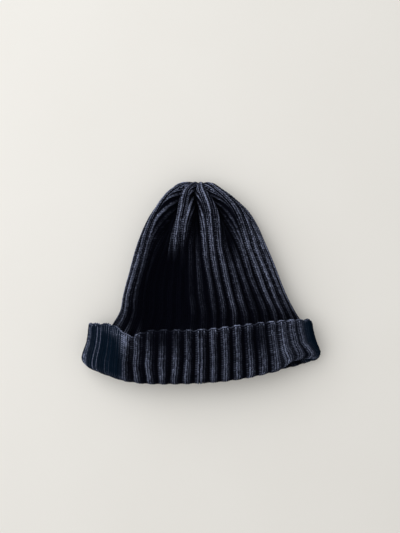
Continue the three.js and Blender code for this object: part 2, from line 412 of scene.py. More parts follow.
@dataclass(frozen=True)
class Knit:
    """Sizes of the ribbed fabric."""

    ribs: int = 40
    gores: int = 8
    first_gore: float = 1.5
    thickness: float = 5.0
    relief: float = 2.4
    worn_relief: float = 3.1
    wale_groove: float = 1.1
    layer_gap: float = 0.8
    fold_relief: float = 0.2
    sharpness: float = 1.15
    # Pale colour falls off from the crests: abrasion on the crests, painted shade in the valleys.
    crest_power: float = 2.3
    # Painted highlight on the left flank of each ridge, which faces the light from the upper left.
    worn_side: float = 0.72
    wales: int = 6
    ridge_wales: int = 3
    row: float = 2.2
    stitch: float = 0.5

    @property
    def gore_ribs(self) -> float:
        """Ribs in each gore."""
        return self.ribs / self.gores

    @property
    def fold_radius(self) -> float:
        """Outer radius of the fold, which goes round both layers."""
        return self.thickness + self.layer_gap / 2

    def on_ridge(self, step: np.ndarray, plain: np.ndarray) -> np.ndarray:
        """Tells which wales are knitted as ridges.

        Args:
            step: Wales from the middle of a ridge.
            plain: Whether only the middle wale of each valley is knitted as a valley there.

        Returns:
            Whether each wale is knitted as a ridge.
        """
        wale = np.abs(step) % self.wales
        beside = np.minimum(wale, self.wales - wale)
        return (beside <= self.ridge_wales // 2) | (plain & (beside < self.wales // 2))

    def ridge(self, place: np.ndarray, broad: float | np.ndarray = 0.0) -> np.ndarray:
        """Height of the ribbing.

        Args:
            place: Place across the ribs, whole on the middle of each ridge.
            broad: How much broader the ridges are than the valleys, 0 to 1.

        Returns:
            1 on a ridge, 0 in a valley.
        """
        wave = np.cos(TURN * place) + broad
        top, low = np.tanh(self.sharpness * (1 + broad)), np.tanh(self.sharpness * (broad - 1))
        return (np.tanh(self.sharpness * wave) - low) / (top - low)

    def worn(self, place: np.ndarray, broad: np.ndarray) -> np.ndarray:
        """Pale colour across the ribbing: rubbed crests, painted shade in the valleys, and a painted
        highlight on the left side of each ridge, which faces the light.
        """
        slant = 1 - self.worn_side * np.sin(TURN * place)
        return self.ridge(place, broad) ** self.crest_power * slant

    def hollow(
        self, place: np.ndarray, share: float | np.ndarray, broad: float | np.ndarray = 0.0
    ) -> np.ndarray:
        """How far the fabric lies below the crest of the ridges, grooves between the wales included.

        Args:
            place: Place across the ribs, whole on the middle of each ridge.
            share: Share of the full relief, one value or one for each place.
            broad: How much broader the ridges are than the valleys.

        Returns:
            Depths in millimetres, the height of the stitches not counted.
        """
        ridge = self.ridge(place, broad)
        groove = self.wale_groove * ridge * (0.5 - 0.5 * np.cos(TURN * self.wales * place))
        return share * (self.worn_relief * (1 - ridge) + groove) + self.stitch


@dataclass
class Lying:
    """How the hat lies: the flattened sections, the dents of its front and the lines across it."""

    knit: Knit
    side_share: float = 0.42
    front_round: float = 2.5
    back_round: float = 2.8
    sag: float = 1.5
    most_inset: float = 0.55
    steps: int = 48
    least: float = 0.5
    # Painted shade in the dents and folds, full at this depth, and painted light on the swells, full at
    # this height.
    deepest: float = 10.0
    highest: float = 6.0
    swell_wear: float = 0.3
    dents: tuple[Dent, ...] = DENTS
    fold: SmoothTable = field(default_factory=lambda: SmoothTable(FOLD_LINE, "x"))
    edge: SmoothTable = field(default_factory=lambda: SmoothTable(EDGE_LINE, "x"))

    def side(self, row: dict[str, float]) -> float:
        """Height of the widest line of a section."""
        return row["under"] + (row["top"] - row["under"]) * self.side_share

    def section(self, row: dict[str, float], inset: np.ndarray, angle: np.ndarray) -> np.ndarray:
        """Points of a flattened section.

        Args:
            row: left, right, top and under of the section.
            inset: How far in from the outer skin each point is.
            angle: Angle of each point: 0 is the right edge, and it turns up over the front.

        Returns:
            An array of x and z.
        """
        half = (row["right"] - row["left"]) / 2
        side = self.side(row)
        front = angle > 0
        taken = np.minimum(np.where(front, inset, np.maximum(inset, 0)), self.most_inset * half)
        round_ = np.where(front, self.front_round, self.back_round)
        across = np.sign(np.cos(angle)) * np.abs(np.cos(angle)) ** (2 / round_)
        upward = np.abs(np.sin(angle)) ** (2 / round_)
        x = (row["left"] + row["right"]) / 2 + (half - taken) * across
        above = side + np.maximum(row["top"] - side - taken, self.least) * upward
        floor = np.minimum(row["under"] + taken, side - self.least)
        below = np.maximum(side - (side - floor + self.sag) * upward, floor)
        return np.stack([x, np.where(front, above, below)], axis=-1)

    def angles(self, row: dict[str, float], ribs: np.ndarray) -> np.ndarray:
        """Angles at which ribs stand, evenly spaced along each half of a section.

        Args:
            row: The section.
            ribs: Ribs, counted round the hat.

        Returns:
            The angle of each rib.
        """
        half = self.knit.ribs / 2
        share = np.linspace(0, 1, self.steps + 1)
        result = np.zeros_like(ribs)
        on_front = ribs % self.knit.ribs < half
        for start, chosen in ((np.pi, on_front), (0.0, ~on_front)):
            angles = start - np.pi * share
            nudged = np.maximum(angles, TINY) if start else angles - TINY
            points = self.section(row, np.zeros_like(angles), nudged)
            lengths = np.concatenate([[0], np.cumsum(np.hypot(*np.diff(points, axis=0).T))])
            target = (ribs[chosen] % half) / half * lengths[-1]
            result[chosen] = np.interp(target, lengths, angles)
        return result

    def oval(self, spot: Dent | PaintedShading, x: np.ndarray, y: np.ndarray) -> np.ndarray:
        """How much points lie inside the soft oval of a dent or of a spot of painted shading.

        Args:
            spot: The dent or the spot of painted shading.
            x: Places across the hat.
            y: Places along the hat.

        Returns:
            1 in the middle of the oval, falling to 0 outside it.
        """
        turn = np.radians(spot.turn)
        dx, dy = x - spot.x, y - spot.y
        across = (dx * np.cos(turn) + dy * np.sin(turn)) / spot.wide
        along = (dy * np.cos(turn) - dx * np.sin(turn)) / spot.long
        return np.exp(-(across**2) - along**2)

    def dent(self, x: np.ndarray, y: np.ndarray) -> np.ndarray:
        """How far the dents and swells move points of the front up or down."""
        return sum(dent.high * self.oval(dent, x, y) for dent in self.dents)

    def fade(
        self, fades: Sequence[PaintedShading], wear: np.ndarray, points: np.ndarray, front: np.ndarray
    ) -> np.ndarray:
        """Changes the pale colour of points by the spots of painted shade and light on their layer.

        Args:
            fades: The spots of painted shade and light, in the order in which they work.
            wear: The pale colour of each point, from abrasion and painted shading.
            points: The points.
            front: Whether each point is on the front layer.

        Returns:
            The new pale colour of each point.
        """
        for spot in fades:
            inside = spot.share * self.oval(spot, points[..., 0], points[..., 1]) * (front != spot.back)
            wear = wear + inside if spot.share > 0 else wear * (1 + inside)
        return wear

    def shelter(self, points: np.ndarray, folded: np.ndarray) -> np.ndarray:
        """Painted shade in the dents and folds, and painted light on the swells.

        Args:
            points: The points.
            folded: How deep each of them lies in a fold.

        Returns:
            The share of its pale colour that each point keeps, more than 1 on the swells.
        """
        moved = self.dent(points[..., 0], points[..., 1]) - folded
        sheltered = (1 - np.clip(-moved / self.deepest, 0, 1)) ** 2
        return sheltered + self.swell_wear * np.clip(moved / self.highest, 0, 1)

    def dented(self, row: dict[str, float], x: np.ndarray, y: np.ndarray, z: np.ndarray) -> np.ndarray:
        """Moves points by the dents, fully at the top of the front and not at all at the widest line.

        Args:
            row: The section that the points are on.
            x: Their places across the hat.
            y: Their places along the hat.
            z: Their heights.

        Returns:
            The moved points.
        """
        side = self.side(row)
        share = np.clip((z - side) / (row["top"] - side), 0, 1)
        return np.stack([x, y, z + share * self.dent(x, y)], axis=-1)

    def line(self, table: SmoothTable, ribs: np.ndarray, x: np.ndarray) -> np.ndarray:
        """Reads a line across the hat, in the layer on which each rib is."""
        front = ribs % self.knit.ribs < self.knit.ribs / 2
        return np.where(front, table.read("front", x), table.read("back", x))


@dataclass
class Wander:
    """The small unevenness of hand-pulled ribbing, as a sum of waves that never repeat side by side."""

    knit: Knit
    amount: float = 0.028
    swell_size: float = 3.0
    swell_offset: float = 5.0
    swell_run: float = 1.3
    waves: tuple[Wave, ...] = WAVES

    def shift(self, ribs: np.ndarray, length: float | np.ndarray) -> np.ndarray:
        """Sideways shift of the ribs at a length along the fabric.

        Args:
            ribs: The ribs, counted round the hat.
            length: One length, or one for each rib.

        Returns:
            The shift of each rib, in ribs.
        """
        total = np.zeros_like(ribs)
        for wave in self.waves:
            phase = wave.count * ribs / self.knit.ribs + length / wave.run
            total = total + np.sin(TURN * phase + wave.start)
        return self.amount * total

    def swell(self, ribs: np.ndarray, length: float | np.ndarray) -> np.ndarray:
        """Outward swell of the fabric, in millimetres, at a length along the fabric."""
        return self.swell_size * self.shift(ribs + self.swell_offset, length * self.swell_run)


@dataclass
class CrownForm:
    """The crown's two faces, as functions of a rib and a course."""

    knit: Knit
    lying: Lying
    wander: Wander
    beside_cuff: float = 1.06
    tip_merge: float = 20.0
    inside_flat: float = 2.0
    fade_share: float = 0.6
    least_broad: float = 0.1
    most_broad: float = 1.3
    broad_from: float = 92.0
    broad_to: float = 165.0
    notch: float = 0.5
    shift_from: float = 179.0
    shift_to: float = 190.0
    lean_from: float = 60.0
    lean_to: float = 124.0
    tip_shift: SmoothTable = field(default_factory=lambda: SmoothTable(TIP_SHIFT, "rib"))
    lean: SmoothTable = field(default_factory=lambda: SmoothTable(CROWN_SHIFT, "rib"))
    table: SmoothTable = field(default_factory=lambda: SmoothTable(CROWN_ROWS, "course"))

    @property
    def tip(self) -> float:
        """Course of the tip."""
        return float(self.table.keys[-1])

    def row(self, course: float) -> dict[str, float]:
        """All columns of the table at a course."""
        return {name: float(self.table.read(name, course)) for name in self.table.columns}

    def broad(self, course: float | np.ndarray) -> np.ndarray:
        """How much broader the ridges are than the valleys, more towards the tip."""
        share = np.clip((course - self.broad_from) / (self.broad_to - self.broad_from), 0, 1)
        return self.least_broad + (self.most_broad - self.least_broad) * share

    def gathered(self, ribs: np.ndarray, course: float | np.ndarray) -> np.ndarray:
        """Depth of the folds that run into the tip.

        Args:
            ribs: The ribs, counted round the hat.
            course: One course, or one for each rib.

        Returns:
            The depth at each rib, in millimetres.
        """
        half = self.knit.ribs / 2
        from_tip = self.tip - course
        merge = np.clip(from_tip / self.tip_merge, 0, 1)
        total = np.zeros_like(ribs)
        for gather in GATHERS:
            away = np.abs((ribs - gather.rib + 3 * half) % self.knit.ribs - half)
            up = np.clip((away - gather.wide) / gather.wall, 0, 1)
            begun = np.clip((gather.reach - from_tip) / (self.fade_share * gather.reach), 0, 1)
            total = total + gather.depth * eased(begun) * merge * (1 - eased(up))
        return total

    def place(self, ribs: np.ndarray, row: dict[str, float]) -> np.ndarray:
        """Place of ribs in the ribbing of their gore.

        Args:
            ribs: The ribs, counted round the hat.
            row: The section that they are on.

        Returns:
            Places that are whole on the middle of each ridge.
        """
        gore = self.knit.gore_ribs
        in_gore = (ribs - self.knit.first_gore + gore * 1.5) % gore - gore / 2
        return in_gore * row["ribs"] / gore

    def ring(self, ribs: np.ndarray, course: float, depth: np.ndarray) -> np.ndarray:
        """Points round the hat at a course.

        Args:
            ribs: The rib of each point.
            course: The course of the ring.
            depth: How far below the outer skin each point is.

        Returns:
            The points.
        """
        row = self.row(course)
        loose = min(1.0, (self.tip - course) / self.tip_merge)
        moved = ribs + self.wander.shift(ribs, course) * loose
        near_tip = np.clip((course - self.shift_from) / (self.shift_to - self.shift_from), 0, 1) ** 2
        moved = moved + near_tip * self.tip_shift.read("shift", ribs % self.knit.ribs)
        low = np.clip((self.lean_to - course) / (self.lean_to - self.lean_from), 0, 1)
        moved = moved + low * self.lean.read("shift", ribs % self.knit.ribs)
        gathered = self.gathered(ribs, course)
        inset = depth + gathered - self.wander.swell(ribs, course) * loose * row["ridge"]
        points = self.lying.section(row, inset, self.lying.angles(row, moved))
        x, z = points[:, 0], points[:, 1]
        y = row["up"] + row["follow"] * self.lying.line(self.lying.fold, ribs, x * self.beside_cuff)
        return self.lying.dented(row, x, y - (depth + self.notch * gathered) * row["cap"], z)

    def outside(self, ribs: np.ndarray, course: float) -> np.ndarray:
        """Points of the outer skin.

        Args:
            ribs: The rib of each point.
            course: The course of the ring.

        Returns:
            The points.
        """
        row = self.row(course)
        hollow = self.knit.hollow(self.place(ribs, row), row["ridge"], self.broad(course))
        return self.ring(ribs, course, hollow)

    def inside(self, ribs: np.ndarray, course: float) -> np.ndarray:
        """Points of the inner skin, whose ridges stand behind the valleys of the outer one.

        Args:
            ribs: The rib of each point.
            course: The course of the ring.

        Returns:
            The points.
        """
        row = self.row(course)
        share = max(row["ridge"], 1 - row["cap"] * self.inside_flat)
        relief = self.knit.relief * share * self.knit.ridge(self.place(ribs, row))
        return self.ring(ribs, course, self.knit.thickness - relief - self.knit.stitch)


@dataclass
class CuffForm:
    """The cuff's face by its length, from the free edge down, round the fold and up inside the hat."""

    knit: Knit
    lying: Lying
    wander: Wander
    crown: CrownForm
    deep: float = 46.0
    rim_bulge: float = 0.5
    straight: float = 0.75
    straight_by: float = 3.0
    edge_reach: float = 3.2
    edge_wave: float = 1.4
    edge_flat: float = 0.4
    edge_drop: float = 0.5
    stretch_from: float = -4.0
    stretch: SmoothTable = field(default_factory=lambda: SmoothTable(STRETCH, "rib"))
    lean: SmoothTable = field(default_factory=lambda: SmoothTable(CUFF_SHIFT, "rib"))
    table: SmoothTable = field(default_factory=lambda: SmoothTable(CUFF_ROWS, "rise"))

    @property
    def fold_length(self) -> float:
        """Length of fabric in the fold."""
        return float(np.pi * self.knit.fold_radius)

    def ring(
        self, ribs: np.ndarray, rise: float, depth: np.ndarray, drop: float | np.ndarray = 0.0
    ) -> np.ndarray:
        """Points round the cuff, at a depth below its outer skin.

        Args:
            ribs: Ribs, counted round the hat.
            rise: Share of the way from the fold to the free edge.
            depth: Depth of each point below the outer skin.
            drop: How far past the start of the fold each point is.

        Returns:
            The points.
        """
        row = {name: float(self.table.read(name, rise)) for name in self.table.columns}
        run = -self.deep * rise
        above = min(1.0, self.straight_by * rise)
        moved = ribs + self.wander.shift(ribs, run) * (1 - self.straight * above)
        moved = moved + above * self.lean.read("shift", ribs % self.knit.ribs)
        inset = depth - self.wander.swell(ribs, run) * rise * (1 - rise)
        points = self.lying.section(row, inset, self.lying.angles(row, moved))
        x, z = points[:, 0], points[:, 1]
        fold = self.lying.line(self.lying.fold, ribs, x) + self.knit.fold_radius
        y = fold + (self.lying.line(self.lying.edge, ribs, x) - fold) * rise - drop
        return self.lying.dented(row, x, y, z)

    def pulled(self, column: str, ribs: np.ndarray) -> np.ndarray:
        """A column of the table of how the ribbing is pulled open, at each rib."""
        turned = (ribs - self.stretch_from) % self.knit.ribs
        return self.stretch.read(column, turned + self.stretch_from)

    def hollow(self, ribs: np.ndarray, share: float) -> np.ndarray:
        """How far the fabric lies below the crest of the ridges, at a share of the ribs' own relief."""
        return self.knit.hollow(ribs, share * self.pulled("relief", ribs), self.pulled("broad", ribs))

    def near_edge(self, rise: float) -> float:
        """How near the free edge a rise is, 0 to 1 at the edge."""
        return float(np.exp(-(((1 - rise) * self.deep / self.edge_reach) ** 2)))

    def scallop(self, ribs: np.ndarray, rise: float) -> np.ndarray:
        """How far the free edge stands up on the ridges, in millimetres."""
        ridge = self.knit.ridge(ribs, self.pulled("broad", ribs))
        return self.edge_wave * self.near_edge(rise) * (ridge - 0.5)

    def outside(self, ribs: np.ndarray, rise: float) -> np.ndarray:
        """Points of the outer skin from the free edge to the fold, whose ridges flatten at the edge.

        Args:
            ribs: The rib of each point.
            rise: Share of the way from the fold to the free edge.

        Returns:
            The points.
        """
        near = self.near_edge(rise)
        depth = self.hollow(ribs, 1 - self.edge_flat * near) + self.edge_drop * near
        return self.ring(ribs, rise, depth, -self.scallop(ribs, rise))

    def folded(self, ribs: np.ndarray, turn: float) -> np.ndarray:
        """Points of the fold.

        Args:
            ribs: The rib of each point.
            turn: 0 at the outer skin of the cuff, 1 on the inside of the hat.

        Returns:
            The points.
        """
        share = 1 + (self.knit.fold_relief - 1) * np.sin(np.pi * turn)
        radius = self.knit.fold_radius - self.hollow(ribs, share)
        depth = self.knit.fold_radius - radius * np.cos(np.pi * turn)
        return self.ring(ribs, 0.0, depth, radius * np.sin(np.pi * turn))

    def backing(self, ribs: np.ndarray, rise: float) -> np.ndarray:
        """Points of the side of the cuff that lies against the crown, at a rise."""
        depth = self.knit.thickness - rise * self.knit.relief * self.knit.ridge(ribs)
        return self.ring(ribs, rise, depth)

    def rim(self, ribs: np.ndarray, across: float) -> np.ndarray:
        """Points of the free edge.

        Args:
            ribs: The rib of each point.
            across: How far from the outer skin they are, across the thickness of the fabric.

        Returns:
            The points.
        """
        bulge = np.sin(np.pi * np.clip(across / (self.knit.thickness - self.knit.relief), 0, 1))
        depth = self.hollow(ribs, 1 - self.edge_flat) + self.edge_drop + across
        return self.ring(ribs, 1.0, depth, -self.rim_bulge * bulge - self.scallop(ribs, 1.0))

    def face(self, ribs: np.ndarray, length: float) -> np.ndarray:
        """Points of the whole face of the fabric.

        Args:
            ribs: The rib of each point.
            length: Length of fabric from the free edge.

        Returns:
            The points.
        """
        if length <= self.deep:
            return self.outside(ribs, 1 - length / self.deep)
        turn = (length - self.deep) / self.fold_length
        if turn <= 1:
            return self.folded(ribs, turn)
        return self.crown.inside(ribs, length - self.deep - self.fold_length)


@dataclass
class Skin:
    """A face of the fabric, sampled on an even grid, that stitches are laid on."""

    ring: Callable[[np.ndarray, float], np.ndarray]
    ribs: int
    start: float
    end: float
    outward: int
    columns: int = 1920
    step: float = 0.8
    end_gap: float = 1.001

    def __post_init__(self) -> None:
        """Samples the face and works out which way it faces."""
        ribs = np.arange(self.columns) * self.ribs / self.columns
        self.lengths = np.arange(self.start, self.end, self.step)
        self.points = np.stack([self.ring(ribs, length) for length in self.lengths])
        across = np.roll(self.points, -1, axis=1) - np.roll(self.points, 1, axis=1)
        normals = np.cross(across, np.gradient(self.points, axis=0)) * self.outward
        normals /= np.linalg.norm(normals, axis=-1, keepdims=True) + TINY
        for axis in (0, 1):
            normals = normals + np.roll(normals, 1, axis=axis) + np.roll(normals, -1, axis=axis)
        self.normals = normals / (np.linalg.norm(normals, axis=-1, keepdims=True) + TINY)

    def blend(self, grid: np.ndarray, ribs: np.ndarray, lengths: np.ndarray) -> np.ndarray:
        """Reads a grid between its samples.

        Args:
            grid: A value for each sample of the face.
            ribs: The ribs to read it at.
            lengths: The lengths to read it at.

        Returns:
            The values.
        """
        row = np.clip((lengths - self.start) / self.step, 0, len(self.lengths) - self.end_gap)
        column = (ribs % self.ribs) * self.columns / self.ribs
        i, j = row.astype(int), column.astype(int) % self.columns
        a, b = (row - i)[..., None], (column - np.floor(column))[..., None]
        k = (j + 1) % self.columns
        low = grid[i, j] * (1 - b) + grid[i, k] * b
        high = grid[i + 1, j] * (1 - b) + grid[i + 1, k] * b
        return low * (1 - a) + high * a

    def at(self, ribs: np.ndarray, lengths: np.ndarray) -> np.ndarray:
        """Points of the face."""
        return self.blend(self.points, ribs, lengths)

    def over(self, ribs: np.ndarray, lengths: np.ndarray, high: np.ndarray) -> np.ndarray:
        """Points at a height over the face."""
        return self.at(ribs, lengths) + self.blend(self.normals, ribs, lengths) * high[..., None]


class Run(Enum):
    """Which way a piece of yarn runs in its stitch."""

    UP = "along the wale"
    ACROSS = "across the wale"


@dataclass(frozen=True)
class Strand:
    """A short piece of yarn in a stitch: a path with a rounded section, pointed at both ends.

    Its sizes are shares of the half width of a wale, across, and of the height of a row, along.
    """

    path: tuple[tuple[float, float, float], ...]
    thick: tuple[float, ...]
    wide: float
    run: Run
    sides: int = 5
    bury: float = 0.35

    def template(self) -> tuple[np.ndarray, np.ndarray]:
        """The strand's points and their place on the yarn.

        Returns:
            Points as across, along and high, and each point's place along and round the yarn, 0 to 1.
        """
        points, places = [], []
        angles = np.linspace(np.pi, 0, self.sides)
        last = len(self.path) - 1
        for k, (across, along, high) in enumerate(self.path):
            if k in (0, last):
                points.append((across, along, high))
                places.append((k / last, 0.5))
                continue
            scale = self.thick[k]
            for angle in angles:
                sideways = np.cos(angle) * self.wide * scale
                rise = (np.sin(angle) * (1 + self.bury) - self.bury) * scale * high
                offset = (sideways, 0.0) if self.run is Run.UP else (0.0, sideways)
                points.append((across + offset[0], along + offset[1], rise))
                places.append((k / last, angle / np.pi))
        return np.array(points), np.array(places)

    def faces(self) -> tuple[np.ndarray, np.ndarray]:
        """The strand's faces, pointing out for a path that runs up or to the right.

        Returns:
            The four-sided and the three-sided faces.
        """
        rings, sides = len(self.path) - 2, self.sides
        quads, tris = [], []
        for ring in range(rings - 1):
            for side in range(sides):
                a, b = 1 + ring * sides + side, 1 + ring * sides + (side + 1) % sides
                quads.append((a, b, b + sides, a + sides))
        last = 1 + rings * sides
        for side in range(sides):
            a, b = 1 + side, 1 + (side + 1) % sides
            tris.append((0, b, a))
            top = (rings - 1) * sides
            tris.append((last, a + top, b + top))
        return np.array(quads), np.array(tris)


@dataclass(frozen=True)
class Stitch:
    """A kind of stitch.

    ridge says whether it stands in the ridges or in the valleys, halves whether each of its strands is
    mirrored, and wear how much pale colour its crest carries: rubbed fuzz, and painted light.
    """

    strand: Strand
    ridge: bool
    halves: tuple[bool, ...]
    wear: float


LEG = Strand(
    path=(
        (0.04, -0.32, -0.5),
        (0.15, 0.02, 1.0),
        (0.31, 0.50, 1.0),
        (0.42, 0.98, 1.0),
        (0.46, 1.30, -0.5),
    ),
    thick=(0, 0.88, 1.0, 0.86, 0),
    wide=0.31,
    run=Run.UP,
)
BUMP = Strand(
    path=((-1.45, 0.1, -0.4), (-0.55, 0.54, 1.0), (0.55, 0.54, 1.0), (1.45, 0.1, -0.4)),
    thick=(0, 1.0, 1.0, 0),
    wide=0.45,
    run=Run.ACROSS,
    sides=4,
)
LOOP = Strand(
    path=(
        (-1.7, 0.3, -0.8),
        (-0.85, 0.18, 0.8),
        (0.0, 0.0, 1.05),
        (0.85, -0.18, 0.8),
        (1.7, -0.3, -0.8),
    ),
    thick=(0, 0.9, 1.0, 0.9, 0),
    wide=0.3,
    run=Run.ACROSS,
    sides=6,
)
RIBBING = (
    Stitch(strand=LEG, ridge=True, halves=(False, True), wear=1.0),
    # The purl bumps carry less pale colour: painted shade in the valleys.
    Stitch(strand=BUMP, ridge=False, halves=(False,), wear=0.55),
)
EDGE_LOOP = Stitch(strand=LOOP, ridge=True, halves=(False,), wear=0.9)


@dataclass
class Cloth:
    """Points, faces and marks of a piece while it is being made."""

    points: list[np.ndarray] = field(default_factory=list)
    quads: list[np.ndarray] = field(default_factory=list)
    tris: list[np.ndarray] = field(default_factory=list)
    wear: list[np.ndarray] = field(default_factory=list)
    tone: list[np.ndarray] = field(default_factory=list)
    slack: list[np.ndarray] = field(default_factory=list)
    strand: list[np.ndarray] = field(default_factory=list)
    count: int = 0
    # The fabric under the stitches stays near the deep colour: painted shade between the stitches.
    fabric_wear: float = 0.003
    fabric_tone: float = 0.4

    def add(
        self,
        points: np.ndarray,
        quads: np.ndarray,
        tris: np.ndarray,
        wear: np.ndarray,
        tone: np.ndarray,
        slack: np.ndarray,
        strand: np.ndarray,
    ) -> None:
        """Adds a body to the piece.

        Args:
            points: Its points, in millimetres.
            quads: Its four-sided faces.
            tris: Its three-sided faces.
            wear: How much pale colour each point carries, 0 to 1: rubbed light fuzz, with painted light
                and shade.
            tone: How dark or light the yarn is at each point, 0 to 1.
            slack: How much the ribbing is stretched flat at each point, 0 to 1.
            strand: Where each point is along and round the yarn, for the turns of its plies.
        """
        self.points.append(points)
        self.quads.append(quads + self.count)
        self.tris.append(tris + self.count)
        self.wear.append(wear)
        self.tone.append(tone)
        self.slack.append(slack)
        self.strand.append(strand)
        self.count += len(points)

    def add_fabric(
        self, points: np.ndarray, quads: np.ndarray, tris: np.ndarray, slack: np.ndarray
    ) -> None:
        """Adds the fabric under the stitches, which is kept dark: hardly rubbed, and in painted shade
        between the stitches.

        Args:
            points: Its points, in millimetres.
            quads: Its four-sided faces.
            tris: Its three-sided faces.
            slack: How much the ribbing is stretched flat at each point, 0 to 1.
        """
        count = len(points)
        wear = np.full(count, self.fabric_wear)
        tone = np.full(count, self.fabric_tone)
        self.add(points, quads, tris, wear, tone, slack, np.zeros((count, 3)))

    def make(self, name: str, shift: np.ndarray, material: bpy.types.Material) -> bpy.types.Object:
        """Makes the piece.

        Args:
            name: Its name.
            shift: What moves it into the frame, in millimetres.
            material: Its material.

        Returns:
            The new object.
        """
        points = np.concatenate(self.points) + shift
        points[:, 2] = np.maximum(points[:, 2], 0)
        faces = np.concatenate(self.quads).tolist() + np.concatenate(self.tris).tolist()
        mesh = bpy.data.meshes.new(name)
        mesh.from_pydata((points * MM).tolist(), [], faces)
        for label, kind, channel, marks in (
            ("wear", "FLOAT", "value", self.wear),
            ("tone", "FLOAT", "value", self.tone),
            ("slack", "FLOAT", "value", self.slack),
            ("strand", "FLOAT_VECTOR", "vector", self.strand),
        ):
            layer = mesh.attributes.new(label, kind, "POINT")
            layer.data.foreach_set(channel, np.concatenate(marks).astype(np.float32).ravel())
        mesh.shade_smooth()
        mesh.materials.append(material)
        piece = bpy.data.objects.new(name, mesh)
        bpy.context.scene.collection.objects.link(piece)
        triangles = sum(len(face) - 2 for face in faces)
        log.info("%s: %d triangles", name, triangles)
        return piece


@dataclass
class Needles:
    """Lays stitches over a skin, each a little different from the next."""

    knit: Knit
    lying: Lying
    seed: int = 7
    high: float = 0.78
    slip: float = 0.035
    size: float = 0.06
    pitch: float = 2.0
    # How far from a leg's middle its pale colour reaches: painted shade towards the grooves between the
    # wales.
    leg_reach: float = 0.23
    mottle: float = 0.28
    wale_mottle: float = 0.22
    # Pale colour left at the sides and ends of a strand: painted shade where it dives into the fabric.
    low_wear: float = 0.01
    least_high: float = 0.4
    most_high: float = 1.1
    high_change: float = 1.5

    def __post_init__(self) -> None:
        """Starts the even stream of random numbers and draws the tones of the wales."""
        self.random = np.random.default_rng(self.seed)
        self.wale_tones = self.random.normal(0, self.wale_mottle, self.knit.ribs * self.knit.wales)

    def knit_on(
        self, cloth: Cloth, skin: Skin, stitch: Stitch, sites: np.ndarray, knitted: "Crown | Cuff"
    ) -> None:
        """Knits one stitch at each site.

        Args:
            cloth: The piece that takes the stitches.
            skin: The face that they lie on.
            stitch: The kind of stitch.
            sites: Gore, place and length of each stitch.
            knitted: The part of the hat that the stitches are in.
        """
        for mirrored in stitch.halves:
            self.lay(cloth, skin, stitch, sites, knitted, mirrored)

    def lay(
        self,
        cloth: Cloth,
        skin: Skin,
        stitch: Stitch,
        sites: np.ndarray,
        knitted: "Crown | Cuff",
        mirrored: bool,
    ) -> None:
        """Lays one strand at each site.

        Args:
            cloth: The piece that takes the strands.
            skin: The face that they lie on.
            stitch: The kind of stitch that they are in.
            sites: Gore, place and length of each stitch.
            knitted: The part of the hat that the stitches are in.
            mirrored: Whether the strand is the left one of a pair.
        """
        locate = knitted.rib
        strand = stitch.strand
        template, places = strand.template()
        quads, tris = strand.faces()
        if mirrored ^ (strand.run is Run.ACROSS) ^ (skin.outward < 0):
            quads, tris = quads[:, ::-1], tris[:, ::-1]
        count = len(sites)
        jitter = self.random.normal(0, 1, (count, 5))
        half = 0.5 / self.knit.wales
        across = template[None, :, 0] * (-1 if mirrored else 1) * (1 + self.size * jitter[:, 0:1])
        across = across + self.slip * jitter[:, 1:2]
        along = template[None, :, 1] * (1 + self.size * jitter[:, 2:3] / 2)
        along = along + self.slip * jitter[:, 3:4]
        gore, place, length = (sites[:, k : k + 1] for k in range(3))
        lengths = length + along * self.knit.row
        ribs = locate(gore, place + across * half, lengths)
        right = skin.at(locate(gore, place + half, length), length)
        left = skin.at(locate(gore, place - half, length), length)
        wide = np.linalg.norm(right - left, axis=-1)
        shrink = np.clip(wide / self.pitch, self.least_high, self.most_high)
        change = 1 + self.high_change * self.size * jitter[:, 4:5]
        high = template[None, :, 2] * self.high * shrink * change
        points = skin.over(ribs, lengths, high)
        # Painted shade on each strand: pale on its crest, darker down its sides and, on the legs,
        # towards the grooves between the wales.
        crest = np.clip(template[None, :, 2] * np.ones_like(high), 0, 1)
        beside = 1.0
        if strand.run is Run.UP:
            beside = np.exp(-((template[None, :, 0] / self.leg_reach) ** 2))
        front = ribs % self.knit.ribs < self.knit.ribs / 2
        # Pale colour of the part, then its spots of painted shade and light, then painted shade in the
        # dents and folds and painted light on the swells.
        shaded_wear = knitted.wear(ribs, place + across * half, lengths)
        shaded_wear = self.lying.fade(knitted.fades, shaded_wear, points, front)
        shelter = self.lying.shelter(points, knitted.folded(ribs, lengths)) - 1
        shaded_wear = shaded_wear * np.where(front, 1 + knitted.sheltered * shelter, 1)
        worn = stitch.wear * (self.low_wear + (1 - self.low_wear) * crest * beside) * shaded_wear
        slack = knitted.slack(ribs)
        wale = np.rint((gore * self.knit.gore_ribs + place) * self.knit.wales).astype(int)
        wale_tone = self.wale_tones[wale % len(self.wale_tones)]
        tone = np.clip(0.5 + self.mottle * jitter[:, 0:1] + wale_tone, 0, 1)
        tone = np.broadcast_to(tone, worn.shape)
        run = places[None, :, 0] * np.ptp(template[:, 1]) * self.knit.row + np.zeros_like(high)
        round_ = places[None, :, 1] + np.zeros_like(high)
        marks = np.stack([run, round_, np.zeros_like(run)], axis=-1)
        offsets = (np.arange(count) * len(template))[:, None, None]
        cloth.add(
            points.reshape(-1, 3),
            (quads[None] + offsets).reshape(-1, 4),
            (tris[None] + offsets).reshape(-1, 3),
            worn.ravel(),
            tone.ravel(),
            slack.ravel(),
            marks.reshape(-1, 3),
        )


def ring_faces(rings: int, columns: int, closed: bool) -> np.ndarray:
    """Makes the faces between rings of points that run round the hat.

    Args:
        rings: The count of rings, which run down the outside and up the inside.
        columns: The count of points in each.
        closed: Whether the last ring joins the first.

    Returns:
        Four-sided faces that point out.
    """
    quads = []
    j = np.arange(columns)
    k = (j + 1) % columns
    for i in range(rings if closed else rings - 1):
        low = i * columns
        high = (i + 1) % rings * columns
        quads.append(np.stack([low + j, high + j, high + k, low + k], axis=-1))
    return np.concatenate(quads)


